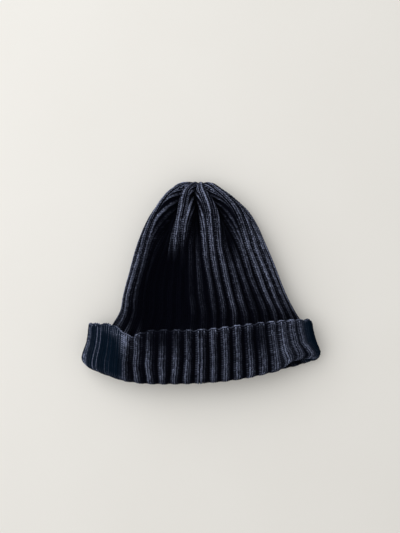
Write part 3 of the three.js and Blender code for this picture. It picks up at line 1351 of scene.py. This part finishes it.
@dataclass
class Crown:
    """The crown: a hollow shell of fabric from the fold to the tip, and the stitches on its outside."""

    knit: Knit
    lying: Lying
    form: CrownForm
    material: bpy.types.Material
    columns: int = 320
    outside_rows: int = 56
    inside_rows: int = 26
    tucked: float = 6.0
    # How much of the depth of the folds at the tip goes into their painted shade.
    fold_shade: float = 0.7
    most_spread: float = 0.45
    first_course: float = 34.0
    last_row: float = 3.5
    skin_gap: float = 0.5
    outside_gap: float = 1.0
    inside_gap: float = 8.0
    gore_edge: float = 1e-6
    # How strongly the painted shade and light of the dents and swells work on the crown.
    sheltered: float = 1.0
    all_knit_from: float = 150.0
    merge_from: float = 150.0
    merge_to: float = 184.0
    # Even, paler colour where the ribs merge at the tip: painted light where the fabric faces the
    # light.
    merged_wear: float = 1.35
    # Spots of painted shade and painted light on the crown.
    fades: tuple[PaintedShading, ...] = CROWN_PAINTED_SHADING
    quarters: tuple[str, ...] = ("front_left", "front_right", "back_right", "back_left")

    def shell(self, shift: np.ndarray) -> bpy.types.Object:
        """Makes the fabric under the stitches, both faces, closed along its lower end.

        Args:
            shift: What moves it into the frame, in millimetres.

        Returns:
            The new object.
        """
        ribs = (np.arange(self.columns) + 0.5) * self.knit.ribs / self.columns
        down = np.linspace(self.form.tip - self.outside_gap, 0, self.outside_rows)
        up = np.linspace(0, self.form.tip - self.inside_gap, self.inside_rows)
        rings = [self.form.outside(ribs, course) for course in down]
        rings += [self.form.inside(ribs, course) for course in up]
        points = np.concatenate(rings)
        ends = np.stack([rings[0].mean(axis=0), rings[-1].mean(axis=0)])
        first, last = len(points), len(points) + 1
        j = np.arange(self.columns)
        k = (j + 1) % self.columns
        end = (len(rings) - 1) * self.columns
        tris = np.concatenate(
            [
                np.stack([np.full_like(j, first), j, k], axis=-1),
                np.stack([np.full_like(j, last), end + k, end + j], axis=-1),
            ]
        )
        points = np.concatenate([points, ends])
        cloth = Cloth()
        cloth.add_fabric(
            points, ring_faces(len(rings), self.columns, False), tris, np.zeros(len(points))
        )
        return cloth.make("crown_fabric", shift, self.material)

    def wear(self, ribs: np.ndarray, spot: np.ndarray, course: np.ndarray) -> np.ndarray:
        """Pale colour of the yarn from abrasion and painted shading, even and paler, as painted light,
        where the ribs merge at the tip.

        Args:
            ribs: The rib of each point. Not used.
            spot: Its place in the ribbing, whole on the middle of each ridge.
            course: Its course.

        Returns:
            The pale colour, 0 to about 1.
        """
        worn = self.knit.worn(spot, self.form.broad(course))
        merged = np.clip((course - self.merge_from) / (self.merge_to - self.merge_from), 0, 1)
        return worn + merged * (self.merged_wear - worn)

    def folded(self, ribs: np.ndarray, course: np.ndarray) -> np.ndarray:
        """How deep a rib lies in one of the folds at the tip, scaled for the painted shade of the
        folds.
        """
        return self.fold_shade * self.form.gathered(ribs, course)

    def slack(self, ribs: np.ndarray) -> np.ndarray:
        """How flat the ribbing is stretched, which it isn't on the crown."""
        return np.zeros_like(ribs)

    def rib(self, gore: np.ndarray, place: np.ndarray, course: np.ndarray) -> np.ndarray:
        """Finds the rib on which a place of a gore's ribbing is.

        Args:
            gore: The gore of each point.
            place: Its place in the gore's ribbing, in ridges.
            course: Its course.

        Returns:
            The ribs, counted round the hat.
        """
        left = self.form.table.read("ribs", np.clip(course, 0, self.form.tip))
        spread = self.most_spread * self.form.broad(course)
        place = place + spread * np.sin(TURN * place) / TURN
        return self.knit.first_gore + self.knit.gore_ribs * gore + place * self.knit.gore_ribs / left

    def sites(self, skin: Skin, ridge: bool) -> np.ndarray:
        """Gore, place and course of each stitch that shows.

        Args:
            skin: The outside of the crown.
            ridge: Whether the stitches of the ridges or those of the valleys are asked for.

        Returns:
            An array of three columns.
        """
        start, end = skin.start + self.knit.row, self.form.tip - self.last_row
        courses = np.arange(start, end, self.knit.row)
        reach = int(self.knit.gore_ribs * self.knit.wales / 2)
        mesh = np.meshgrid(np.arange(self.knit.gores), np.arange(-reach, reach + 1), courses)
        gore, step, course = (a.ravel() for a in mesh)
        on_ridge = self.knit.on_ridge(step, course > self.all_knit_from)
        place = step / self.knit.wales
        left = self.form.table.read("ribs", course)
        ribs = self.rib(gore, place, course)
        points = skin.at(ribs, course)
        edge = self.lying.line(self.lying.edge, ribs, points[:, 0])
        inside_gore = (np.abs(place) <= left / 2) & (place > -left / 2 + self.gore_edge)
        shows = inside_gore & (points[:, 1] > edge - self.tucked) & (on_ridge == ridge)
        return np.stack([gore, place, course], axis=-1)[shows]

    def stitches(self, skin: Skin, needles: Needles, shift: np.ndarray) -> list[bpy.types.Object]:
        """Knits the stitches, in four pieces.

        Args:
            skin: The outside of the crown.
            needles: What lays the stitches.
            shift: What moves them into the frame, in millimetres.

        Returns:
            The new objects.
        """
        found = [(stitch, self.sites(skin, stitch.ridge)) for stitch in RIBBING]
        pieces = []
        for quarter, name in enumerate(self.quarters):
            cloth = Cloth()
            for stitch, sites in found:
                rib = self.rib(sites[:, 0], sites[:, 1], sites[:, 2]) % self.knit.ribs
                own = sites[(rib // (self.knit.ribs / len(self.quarters))).astype(int) == quarter]
                needles.knit_on(cloth, skin, stitch, own, self)
            pieces.append(cloth.make(f"crown_stitches_{name}", shift, self.material))
        return pieces

    def build(self, needles: Needles, shift: np.ndarray) -> list[bpy.types.Object]:
        """Builds the crown.

        Args:
            needles: What lays the stitches.
            shift: What moves it into the frame, in millimetres.

        Returns:
            Its pieces.
        """
        end = self.form.tip - self.skin_gap
        skin = Skin(self.form.outside, self.knit.ribs, self.first_course, end, 1)
        return [self.shell(shift), *self.stitches(skin, needles, shift)]


@dataclass
class Cuff:
    """The cuff: the turned-up band with the fold, its stitches into the mouth and its knitted edge."""

    knit: Knit
    lying: Lying
    form: CuffForm
    material: bpy.types.Material
    columns: int = 320
    rows: int = 14
    fold_rows: int = 9
    inside: float = 5.0
    skin_start: float = -0.4
    first_row: float = 0.8
    rim_across: float = 1.3
    rim_start: float = -0.6
    rim_end: float = 3.4
    rim_step: float = 0.2
    backing_rises: tuple[float, ...] = (0.04, 0.3, 0.6, 1.0)
    plain_wear: float = 0.06
    # Painted highlight on the rims of the ridges, strongest where the ribbing is stretched flat: its
    # strength, where the rims lie and how wide they are.
    rims_wear: float = 2.6
    rim_place: float = 0.25
    slack_rim_place: float = 0.34
    rim_width: float = 0.06
    flat_from: float = 0.9
    arch_long: float = 4.5
    # Painted highlight on the rims round the arched tops at the free edge, and painted shade on the
    # ridges under them.
    arch_wear: float = 1.4
    arch_shade: float = 0.5
    # Painted highlight along the free edge, where it catches the light: how far it reaches and how
    # strong it is.
    edge_reach: float = 1.3
    edge_wear: float = 0.45
    # How strongly the painted shade and light of the dents and swells work on the cuff.
    sheltered: float = 0.45
    rim_rows: tuple[float, ...] = (0.1, 1.4)
    # Spots of painted shade and painted light on the cuff.
    fades: tuple[PaintedShading, ...] = CUFF_PAINTED_SHADING

    def shell(self, shift: np.ndarray) -> bpy.types.Object:
        """Makes the fabric under the stitches: the outer face, the fold and the side against the crown.

        Args:
            shift: What moves it into the frame, in millimetres.

        Returns:
            The new object.
        """
        ribs = (np.arange(self.columns) + 0.5) * self.knit.ribs / self.columns
        rings = [self.form.rim(ribs, self.rim_across)]
        rings += [self.form.outside(ribs, rise) for rise in np.linspace(1, 0, self.rows)]
        rings += [self.form.folded(ribs, turn) for turn in np.linspace(0, 1, self.fold_rows)[1:]]
        layer = self.knit.thickness + self.knit.layer_gap
        rings += [self.form.ring(ribs, 0.0, np.full_like(ribs, layer))]
        rings += [self.form.backing(ribs, rise) for rise in self.backing_rises]
        cloth = Cloth()
        cloth.add_fabric(
            np.concatenate(rings),
            ring_faces(len(rings), self.columns, True),
            np.zeros((0, 3), int),
            np.tile(self.slack(ribs), len(rings)),
        )
        return cloth.make("cuff_fabric", shift, self.material)

    def wear(self, ribs: np.ndarray, spot: np.ndarray, length: np.ndarray) -> np.ndarray:
        """Pale colour of the yarn: rubbed ridges with painted shade in the valleys, and painted
        highlights round their arched tops and along the free edge.

        Args:
            ribs: The rib of each point.
            spot: Its place in the ribbing, whole on the middle of each ridge.
            length: Length of each point from the free edge.

        Returns:
            The pale colour, 0 to about 1. Where the ribbing is stretched the fabric is even and dark,
            and only the rims of its ridges carry a painted highlight.
        """
        from_edge = np.maximum(length, 0)
        beside = np.abs((ribs + 0.5) % 1 - 0.5)
        bent = np.sqrt(1 - np.clip(1 - from_edge / self.arch_long, 0, 1) ** 2)
        slack = self.slack(ribs)
        rim = (self.rim_place + (self.slack_rim_place - self.rim_place) * slack) * bent
        rims = np.exp(-(((beside - rim) / self.rim_width) ** 2))
        plain = self.plain_wear + self.rims_wear * self.form.pulled("edges", ribs) * rims
        near = np.exp(-((from_edge / self.arch_long) ** 2))
        # Painted shade on the ridges near the free edge, and painted highlights on the rims round their
        # arched tops.
        worn = self.knit.worn(spot, self.form.pulled("broad", ribs)) * (1 - self.arch_shade * near)
        worn = worn + self.arch_wear * rims * near
        # Painted highlight along the free edge.
        at_edge = self.edge_wear * np.exp(-((from_edge / self.edge_reach) ** 2))
        return worn + slack * (plain - worn) + at_edge

    def folded(self, ribs: np.ndarray, length: np.ndarray) -> np.ndarray:
        """How deep a rib lies in a fold, which it doesn't on the cuff."""
        return np.zeros_like(ribs)

    def slack(self, ribs: np.ndarray) -> np.ndarray:
        """How flat the ribbing is stretched, 0 to 1."""
        return self.form.pulled("slack", ribs)

    def rib(self, rib: np.ndarray, place: np.ndarray, length: np.ndarray) -> np.ndarray:
        """The rib of a place beside the middle of a ridge."""
        return rib + place + 0 * length

    def sites(self, lengths: np.ndarray, ridge: bool) -> np.ndarray:
        """Rib, place and length of each stitch.

        Args:
            lengths: The lengths from the free edge at which there are stitches.
            ridge: Whether the stitches of the ridges or those of the valleys are asked for.

        Returns:
            An array of three columns.
        """
        half = self.knit.wales // 2
        mesh = np.meshgrid(np.arange(self.knit.ribs), np.arange(1 - half, half + 1), lengths)
        rib, step, length = (a.ravel() for a in mesh)
        on_ridge = self.knit.on_ridge(step, self.slack(rib) > self.flat_from)
        return np.stack([rib, step / self.knit.wales, length], axis=-1)[on_ridge == ridge]

    def stitches(self, skin: Skin, needles: Needles, shift: np.ndarray) -> list[bpy.types.Object]:
        """Knits the stitches of the outer face and the mouth, in two pieces.

        Args:
            skin: The face of the cuff.
            needles: What lays the stitches.
            shift: What moves them into the frame, in millimetres.

        Returns:
            The new objects.
        """
        last = self.form.deep + self.form.fold_length + self.inside
        lengths = np.arange(self.first_row, last, self.knit.row)
        pieces = []
        for name in ("front", "back"):
            cloth = Cloth()
            for stitch in RIBBING:
                sites = self.sites(lengths, stitch.ridge)
                on_front = sites[:, 0] < self.knit.ribs / 2
                own = sites[on_front == (name == "front")]
                needles.knit_on(cloth, skin, stitch, own, self)
            pieces.append(cloth.make(f"cuff_stitches_{name}", shift, self.material))
        return pieces

    def rim(self, needles: Needles, shift: np.ndarray) -> bpy.types.Object:
        """Knits the loops of the free edge, two over each wale, which make a twisted cord.

        Args:
            needles: What lays the loops.
            shift: What moves them into the frame, in millimetres.

        Returns:
            The new object.
        """
        skin = Skin(
            self.form.rim, self.knit.ribs, self.rim_start, self.rim_end, 1, step=self.rim_step
        )
        steps = np.arange(self.knit.wales) / self.knit.wales
        mesh = np.meshgrid(np.arange(self.knit.ribs), steps, self.rim_rows)
        sites = np.stack([a.ravel() for a in mesh], axis=-1)
        cloth = Cloth()
        needles.knit_on(cloth, skin, EDGE_LOOP, sites, self)
        return cloth.make("cuff_edge_loops", shift, self.material)

    def build(self, needles: Needles, shift: np.ndarray) -> list[bpy.types.Object]:
        """Builds the cuff.

        Args:
            needles: What lays the stitches.
            shift: What moves it into the frame, in millimetres.

        Returns:
            Its pieces.
        """
        last = self.form.deep + self.form.fold_length + self.inside + 2 * self.knit.row
        skin = Skin(self.form.face, self.knit.ribs, self.skin_start, last, -1)
        return [self.shell(shift), *self.stitches(skin, needles, shift), self.rim(needles, shift)]


def new_group(name: str, inputs: Sequence[tuple], outputs: Sequence[tuple]) -> bpy.types.ShaderNodeTree:
    """Makes an empty shader node group.

    Args:
        name: Its name.
        inputs: Name, socket type and value of each input.
        outputs: Name and socket type of each output.

    Returns:
        The group, with its input and output nodes named In and Out.
    """
    group = bpy.data.node_groups.new(name, "ShaderNodeTree")
    for label, kind, value in inputs:
        socket = group.interface.new_socket(label, in_out="INPUT", socket_type=kind)
        socket.default_value = value
    for label, kind in outputs:
        group.interface.new_socket(label, in_out="OUTPUT", socket_type=kind)
    group.nodes.new("NodeGroupInput").name = "In"
    group.nodes.new("NodeGroupOutput").name = "Out"
    return group


@dataclass(frozen=True)
class Unevenness:
    """A factor that is base at the value 0 and base + gain at 1, and the fineness of its noise."""

    gain: float
    base: float
    scale: float = 0.0
    detail: float = 0.0


class Graph:
    """A short way to place and join the nodes of a material or a group."""

    def __init__(self, tree: bpy.types.NodeTree) -> None:
        """Takes the tree that the nodes go into."""
        self.tree = tree

    def node(self, kind: str, **settings: object) -> bpy.types.Node:
        """Places a node.

        Args:
            kind: Its type.
            settings: The properties to set on it.

        Returns:
            The new node.
        """
        node = self.tree.nodes.new(kind)
        for name, value in settings.items():
            setattr(node, name, value)
        return node

    def join(self, source: bpy.types.NodeSocket, target: bpy.types.NodeSocket) -> None:
        """Joins two sockets."""
        self.tree.links.new(source, target)

    def feed(self, target: bpy.types.NodeSocket, value: object) -> None:
        """Joins a socket to a target, or sets the target's value.

        Args:
            target: The input to feed.
            value: A socket, or a value.
        """
        if isinstance(value, bpy.types.NodeSocket):
            self.join(value, target)
        else:
            target.default_value = value

    def math(self, operation: str, *values: object) -> bpy.types.NodeSocket:
        """Places a sum, a product or another operation.

        Args:
            operation: Its name.
            values: Two or three sockets or numbers.

        Returns:
            The result's socket.
        """
        node = self.node("ShaderNodeMath", operation=operation)
        for target, value in zip(node.inputs, values):
            self.feed(target, value)
        return node.outputs[0]

    def mix(self, factor: object, a: object, b: object) -> bpy.types.NodeSocket:
        """Places a mix of two colours.

        Args:
            factor: The share of the second, a socket or a number.
            a: The first colour or its socket.
            b: The second colour or its socket.

        Returns:
            The mixed colour's socket.
        """
        node = self.node("ShaderNodeMix", data_type="RGBA")
        self.feed(node.inputs[0], factor)
        self.feed(node.inputs[6], a)
        self.feed(node.inputs[7], b)
        return node.outputs[2]

    def noise(self, scale: float, detail: float) -> bpy.types.NodeSocket:
        """Places a noise around 0.5, in object coordinates.

        Args:
            scale: How fine it is.
            detail: How many finer layers it has.

        Returns:
            The noise's socket.
        """
        node = self.node("ShaderNodeTexNoise")
        node.inputs["Scale"].default_value = scale
        node.inputs["Detail"].default_value = detail
        self.join(self.node("ShaderNodeTexCoord").outputs["Object"], node.inputs["Vector"])
        return node.outputs["Fac"]

    def uneven(
        self, change: Unevenness, value: bpy.types.NodeSocket | None
    ) -> bpy.types.NodeSocket:
        """Places a factor that changes with a value or with a noise of its own.

        Args:
            change: How much it changes.
            value: The value, or None for the noise.

        Returns:
            The factor's socket.
        """
        source = self.noise(change.scale, change.detail) if value is None else value
        return self.math("MULTIPLY_ADD", source, change.gain, change.base)


BLOTCHES = Unevenness(gain=0.8, base=0.6, scale=55.0, detail=3.0)
HEATHER = Unevenness(gain=1.6, base=0.2, scale=3200.0, detail=2.0)
TONES = Unevenness(gain=1.3, base=0.35)
PLY_LENGTH = 0.9
PLY_PHASE = 4.2
FIBRE_SCALE = 3400.0
FIBRE_DETAIL = 3.0


def yarn_colour_group() -> bpy.types.ShaderNodeTree:
    """Makes the colour of dyed cotton yarn: deep where painted shade lies on it, pale where it is
    rubbed and where light is painted.

    Returns:
        The node group.
    """
    inputs = (
        ("Deep", "NodeSocketColor", (0, 0, 0, 1)),
        ("Faded", "NodeSocketColor", (1, 1, 1, 1)),
        ("Stretched", "NodeSocketColor", (0, 0, 0.1, 1)),
        ("Wear", "NodeSocketFloat", 0.5),
        ("Tone", "NodeSocketFloat", 0.5),
        ("Slack", "NodeSocketFloat", 0.0),
    )
    group = new_group("yarn_colour", inputs, (("Color", "NodeSocketColor"),))
    graph = Graph(group)
    given, out = group.nodes["In"], group.nodes["Out"]
    # The share of the pale colour: abrasion with painted light and shade, made uneven by blotches,
    # heather and tone.
    share = given.outputs["Wear"]
    for change, value in ((BLOTCHES, None), (HEATHER, None), (TONES, given.outputs["Tone"])):
        share = graph.math("MULTIPLY", share, graph.uneven(change, value))
    dyed = graph.mix(given.outputs["Slack"], given.outputs["Deep"], given.outputs["Stretched"])
    graph.join(graph.mix(share, dyed, given.outputs["Faded"]), out.inputs["Color"])
    return group


def yarn_relief_group() -> bpy.types.ShaderNodeTree:
    """Makes the relief of the yarn: the turns of its plies and the loose fibres on it.

    Returns:
        The node group.
    """
    inputs = (("Twist", "NodeSocketFloat", 1.0), ("Fuzz", "NodeSocketFloat", 1.0))
    group = new_group("yarn_relief", inputs, (("Height", "NodeSocketFloat"),))
    graph = Graph(group)
    given, out = group.nodes["In"], group.nodes["Out"]
    strand = graph.node("ShaderNodeSeparateXYZ")
    mark = graph.node("ShaderNodeAttribute", attribute_name="strand")
    graph.join(mark.outputs["Vector"], strand.inputs[0])
    turns = graph.math("MULTIPLY", strand.outputs["X"], TURN / PLY_LENGTH)
    phase = graph.math("MULTIPLY", strand.outputs["Y"], PLY_PHASE)
    plies = graph.math("SINE", graph.math("ADD", turns, phase))
    fuzz = graph.math("SUBTRACT", graph.noise(FIBRE_SCALE, FIBRE_DETAIL), 0.5)
    twisted = graph.math("MULTIPLY", plies, given.outputs["Twist"])
    fuzzy = graph.math("MULTIPLY", fuzz, given.outputs["Fuzz"])
    graph.join(graph.math("ADD", twisted, fuzzy), out.inputs["Height"])
    return group


@dataclass(frozen=True)
class YarnFinish:
    """A finish of dyed cotton yarn."""

    name: str
    # The deep colour is the dark dye, darkened further to stand in for shade; the pale colour is rubbed
    # yarn and also the colour of painted light.
    deep: tuple[float, float, float]
    faded: tuple[float, float, float]
    stretched: tuple[float, float, float] = (0.0022, 0.0085, 0.0195)
    roughness: float = 0.9
    specular: float = 0.015
    sheen: float = 0.012
    sheen_roughness: float = 0.45
    sheen_tint: tuple[float, float, float] = (0.62, 0.68, 0.95)
    twist: float = 1.0
    fuzz: float = 1.2
    bump: float = 0.00016

    def material(
        self, colour: bpy.types.ShaderNodeTree, relief: bpy.types.ShaderNodeTree
    ) -> bpy.types.Material:
        """Builds the material.

        Args:
            colour: The group of the yarn's colour.
            relief: The group of the yarn's relief.

        Returns:
            The new material.
        """
        material = bpy.data.materials.new(self.name)
        material.use_nodes = True
        graph = Graph(material.node_tree)
        shader = material.node_tree.nodes["Principled BSDF"]
        paint = graph.node("ShaderNodeGroup", node_tree=colour)
        paint.inputs["Deep"].default_value = (*self.deep, 1)
        paint.inputs["Faded"].default_value = (*self.faded, 1)
        paint.inputs["Stretched"].default_value = (*self.stretched, 1)
        for name in ("wear", "tone", "slack"):
            mark = graph.node("ShaderNodeAttribute", attribute_name=name)
            graph.join(mark.outputs["Fac"], paint.inputs[name.title()])
        graph.join(paint.outputs["Color"], shader.inputs["Base Color"])
        shape = graph.node("ShaderNodeGroup", node_tree=relief)
        shape.inputs["Twist"].default_value = self.twist
        shape.inputs["Fuzz"].default_value = self.fuzz
        bump = graph.node("ShaderNodeBump")
        bump.inputs["Distance"].default_value = self.bump
        graph.join(shape.outputs["Height"], bump.inputs["Height"])
        graph.join(bump.outputs["Normal"], shader.inputs["Normal"])
        shader.inputs["Roughness"].default_value = self.roughness
        shader.inputs["Specular IOR Level"].default_value = self.specular
        shader.inputs["Sheen Weight"].default_value = self.sheen
        shader.inputs["Sheen Roughness"].default_value = self.sheen_roughness
        shader.inputs["Sheen Tint"].default_value = (*self.sheen_tint, 1)
        return material


# The yarn's dark dye, made near black to stand in for shade.
DYE_IN_SHADE = (0.0008, 0.001, 0.0034)
CROWN_YARN = YarnFinish("crown_yarn", DYE_IN_SHADE, (0.29, 0.33, 0.485))
CUFF_YARN = YarnFinish("cuff_yarn", DYE_IN_SHADE, (0.285, 0.33, 0.49))


@dataclass(frozen=True)
class TableFinish:
    """The pale matt surface under the hat."""

    colour: tuple[float, float, float] = (0.78, 0.77, 0.74)
    shade: tuple[float, float, float] = (0.75, 0.735, 0.7)
    roughness: float = 0.6
    cloud_scale: float = 9.0
    cloud_detail: float = 4.0

    def material(self) -> bpy.types.Material:
        """Builds the material.

        Returns:
            The new material.
        """
        material = bpy.data.materials.new("pale_table")
        material.use_nodes = True
        graph = Graph(material.node_tree)
        shader = material.node_tree.nodes["Principled BSDF"]
        cloudy = graph.noise(self.cloud_scale, self.cloud_detail)
        colour = graph.mix(cloudy, (*self.shade, 1), (*self.colour, 1))
        graph.join(colour, shader.inputs["Base Color"])
        shader.inputs["Roughness"].default_value = self.roughness
        return material


@dataclass(frozen=True)
class Studio:
    """The table, the soft light from the upper left and the camera straight above."""

    table_size: float = 4.0
    key_place: tuple[float, float, float] = (-0.8, 0.5, 1.15)
    key_size: float = 2.0
    key_power: float = 19.5
    fill: float = 0.6
    fill_colour: tuple[float, float, float] = (1.0, 0.985, 0.96)
    distance: float = 0.92
    scale_height: float = 0.015
    mm_per_pixel: float = 0.95
    picture: tuple[int, int] = (400, 533)
    hat_pixel: tuple[float, float] = (201.0, 282.5)
    sensor: float = 24.0

    def table(self) -> None:
        """Makes the table, which is no part of the hat."""
        bpy.ops.mesh.primitive_plane_add(size=self.table_size)
        table = bpy.context.object
        table.name = "table"
        table.data.materials.append(TableFinish().material())
        table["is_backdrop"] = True

    def lights(self) -> None:
        """Makes the broad light and the even light around it."""
        light = bpy.data.lights.new("window", "AREA")
        light.size = self.key_size
        light.energy = self.key_power
        window = bpy.data.objects.new("window", light)
        bpy.context.scene.collection.objects.link(window)
        window.location = self.key_place
        window.rotation_euler = (-Vector(self.key_place)).to_track_quat("-Z", "Y").to_euler()
        world = bpy.data.worlds.new("room")
        world.use_nodes = True
        background = world.node_tree.nodes["Background"]
        background.inputs["Color"].default_value = (*self.fill_colour, 1)
        background.inputs["Strength"].default_value = self.fill
        bpy.context.scene.world = world
        bpy.context.scene.view_settings.view_transform = "Standard"

    def camera(self) -> None:
        """Makes the camera, which looks straight down with the photo's framing."""
        width, height = self.picture
        data = bpy.data.cameras.new("camera")
        data.sensor_fit = "VERTICAL"
        data.sensor_height = self.sensor
        data.lens = self.sensor * self.distance / (height * self.mm_per_pixel * MM)
        camera = bpy.data.objects.new("camera", data)
        bpy.context.scene.collection.objects.link(camera)
        x = (width / 2 - self.hat_pixel[0]) * self.mm_per_pixel * MM
        y = (self.hat_pixel[1] - height / 2) * self.mm_per_pixel * MM
        camera.location = (x, y, self.distance + self.scale_height)
        bpy.context.scene.camera = camera

    def build(self) -> None:
        """Builds the whole stage."""
        self.table()
        self.lights()
        self.camera()


OUTLINE_STEP = 0.125
OUTLINE_COURSES = (182.0, 186.0, 189.0, 191.0, 193.0)
OUTLINE_RISES = (0.0, 0.1, 0.2)
OUTLINE_TURNS = (0.25, 0.5, 0.75)


def centring(crown: CrownForm, cuff: CuffForm, knit: Knit) -> np.ndarray:
    """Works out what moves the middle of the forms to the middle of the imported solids.

    Args:
        crown: The form of the crown, which reaches farthest up.
        cuff: The form of the cuff, which reaches farthest down and to the sides.
        knit: The ribbing.

    Returns:
        The move, in millimetres.
    """
    ribs = np.arange(0, knit.ribs, OUTLINE_STEP)
    rings = [crown.outside(ribs, course) for course in OUTLINE_COURSES]
    rings += [cuff.outside(ribs, rise) for rise in OUTLINE_RISES]
    rings += [cuff.folded(ribs, turn) for turn in OUTLINE_TURNS]
    points = np.concatenate(rings)
    low, high = (np.array(corner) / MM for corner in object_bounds())
    middle = (low + high) / 2 - (points.min(axis=0) + points.max(axis=0)) / 2
    return np.array([middle[0], middle[1], 0.0])


def declare(pieces: list[bpy.types.Object], node: str) -> None:
    """Attaches each piece to the root and hides the node of the solids that they replace.

    Args:
        pieces: The pieces.
        node: The node of the solids that they replace.
    """
    for piece in pieces:
        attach(piece, "root")
        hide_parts(node)


def main() -> None:
    """Builds the hat and the stage, and reports each piece."""
    logging.basicConfig(level=logging.INFO, format="%(message)s")
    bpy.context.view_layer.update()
    knit = Knit()
    lying = Lying(knit)
    wander = Wander(knit)
    crown_form = CrownForm(knit, lying, wander)
    cuff_form = CuffForm(knit, lying, wander, crown_form)
    shift = centring(crown_form, cuff_form, knit)
    log.info("moved by %s", shift.round(2))
    needles = Needles(knit, lying)
    colour, relief = yarn_colour_group(), yarn_relief_group()
    crown_material = CROWN_YARN.material(colour, relief)
    cuff_material = CUFF_YARN.material(colour, relief)
    crown = Crown(knit, lying, crown_form, crown_material).build(needles, shift)
    cuff = Cuff(knit, lying, cuff_form, cuff_material).build(needles, shift)
    declare(crown, "crown")
    declare(cuff, "cuff")
    Studio().build()


if __name__ == "__main__":
    main()
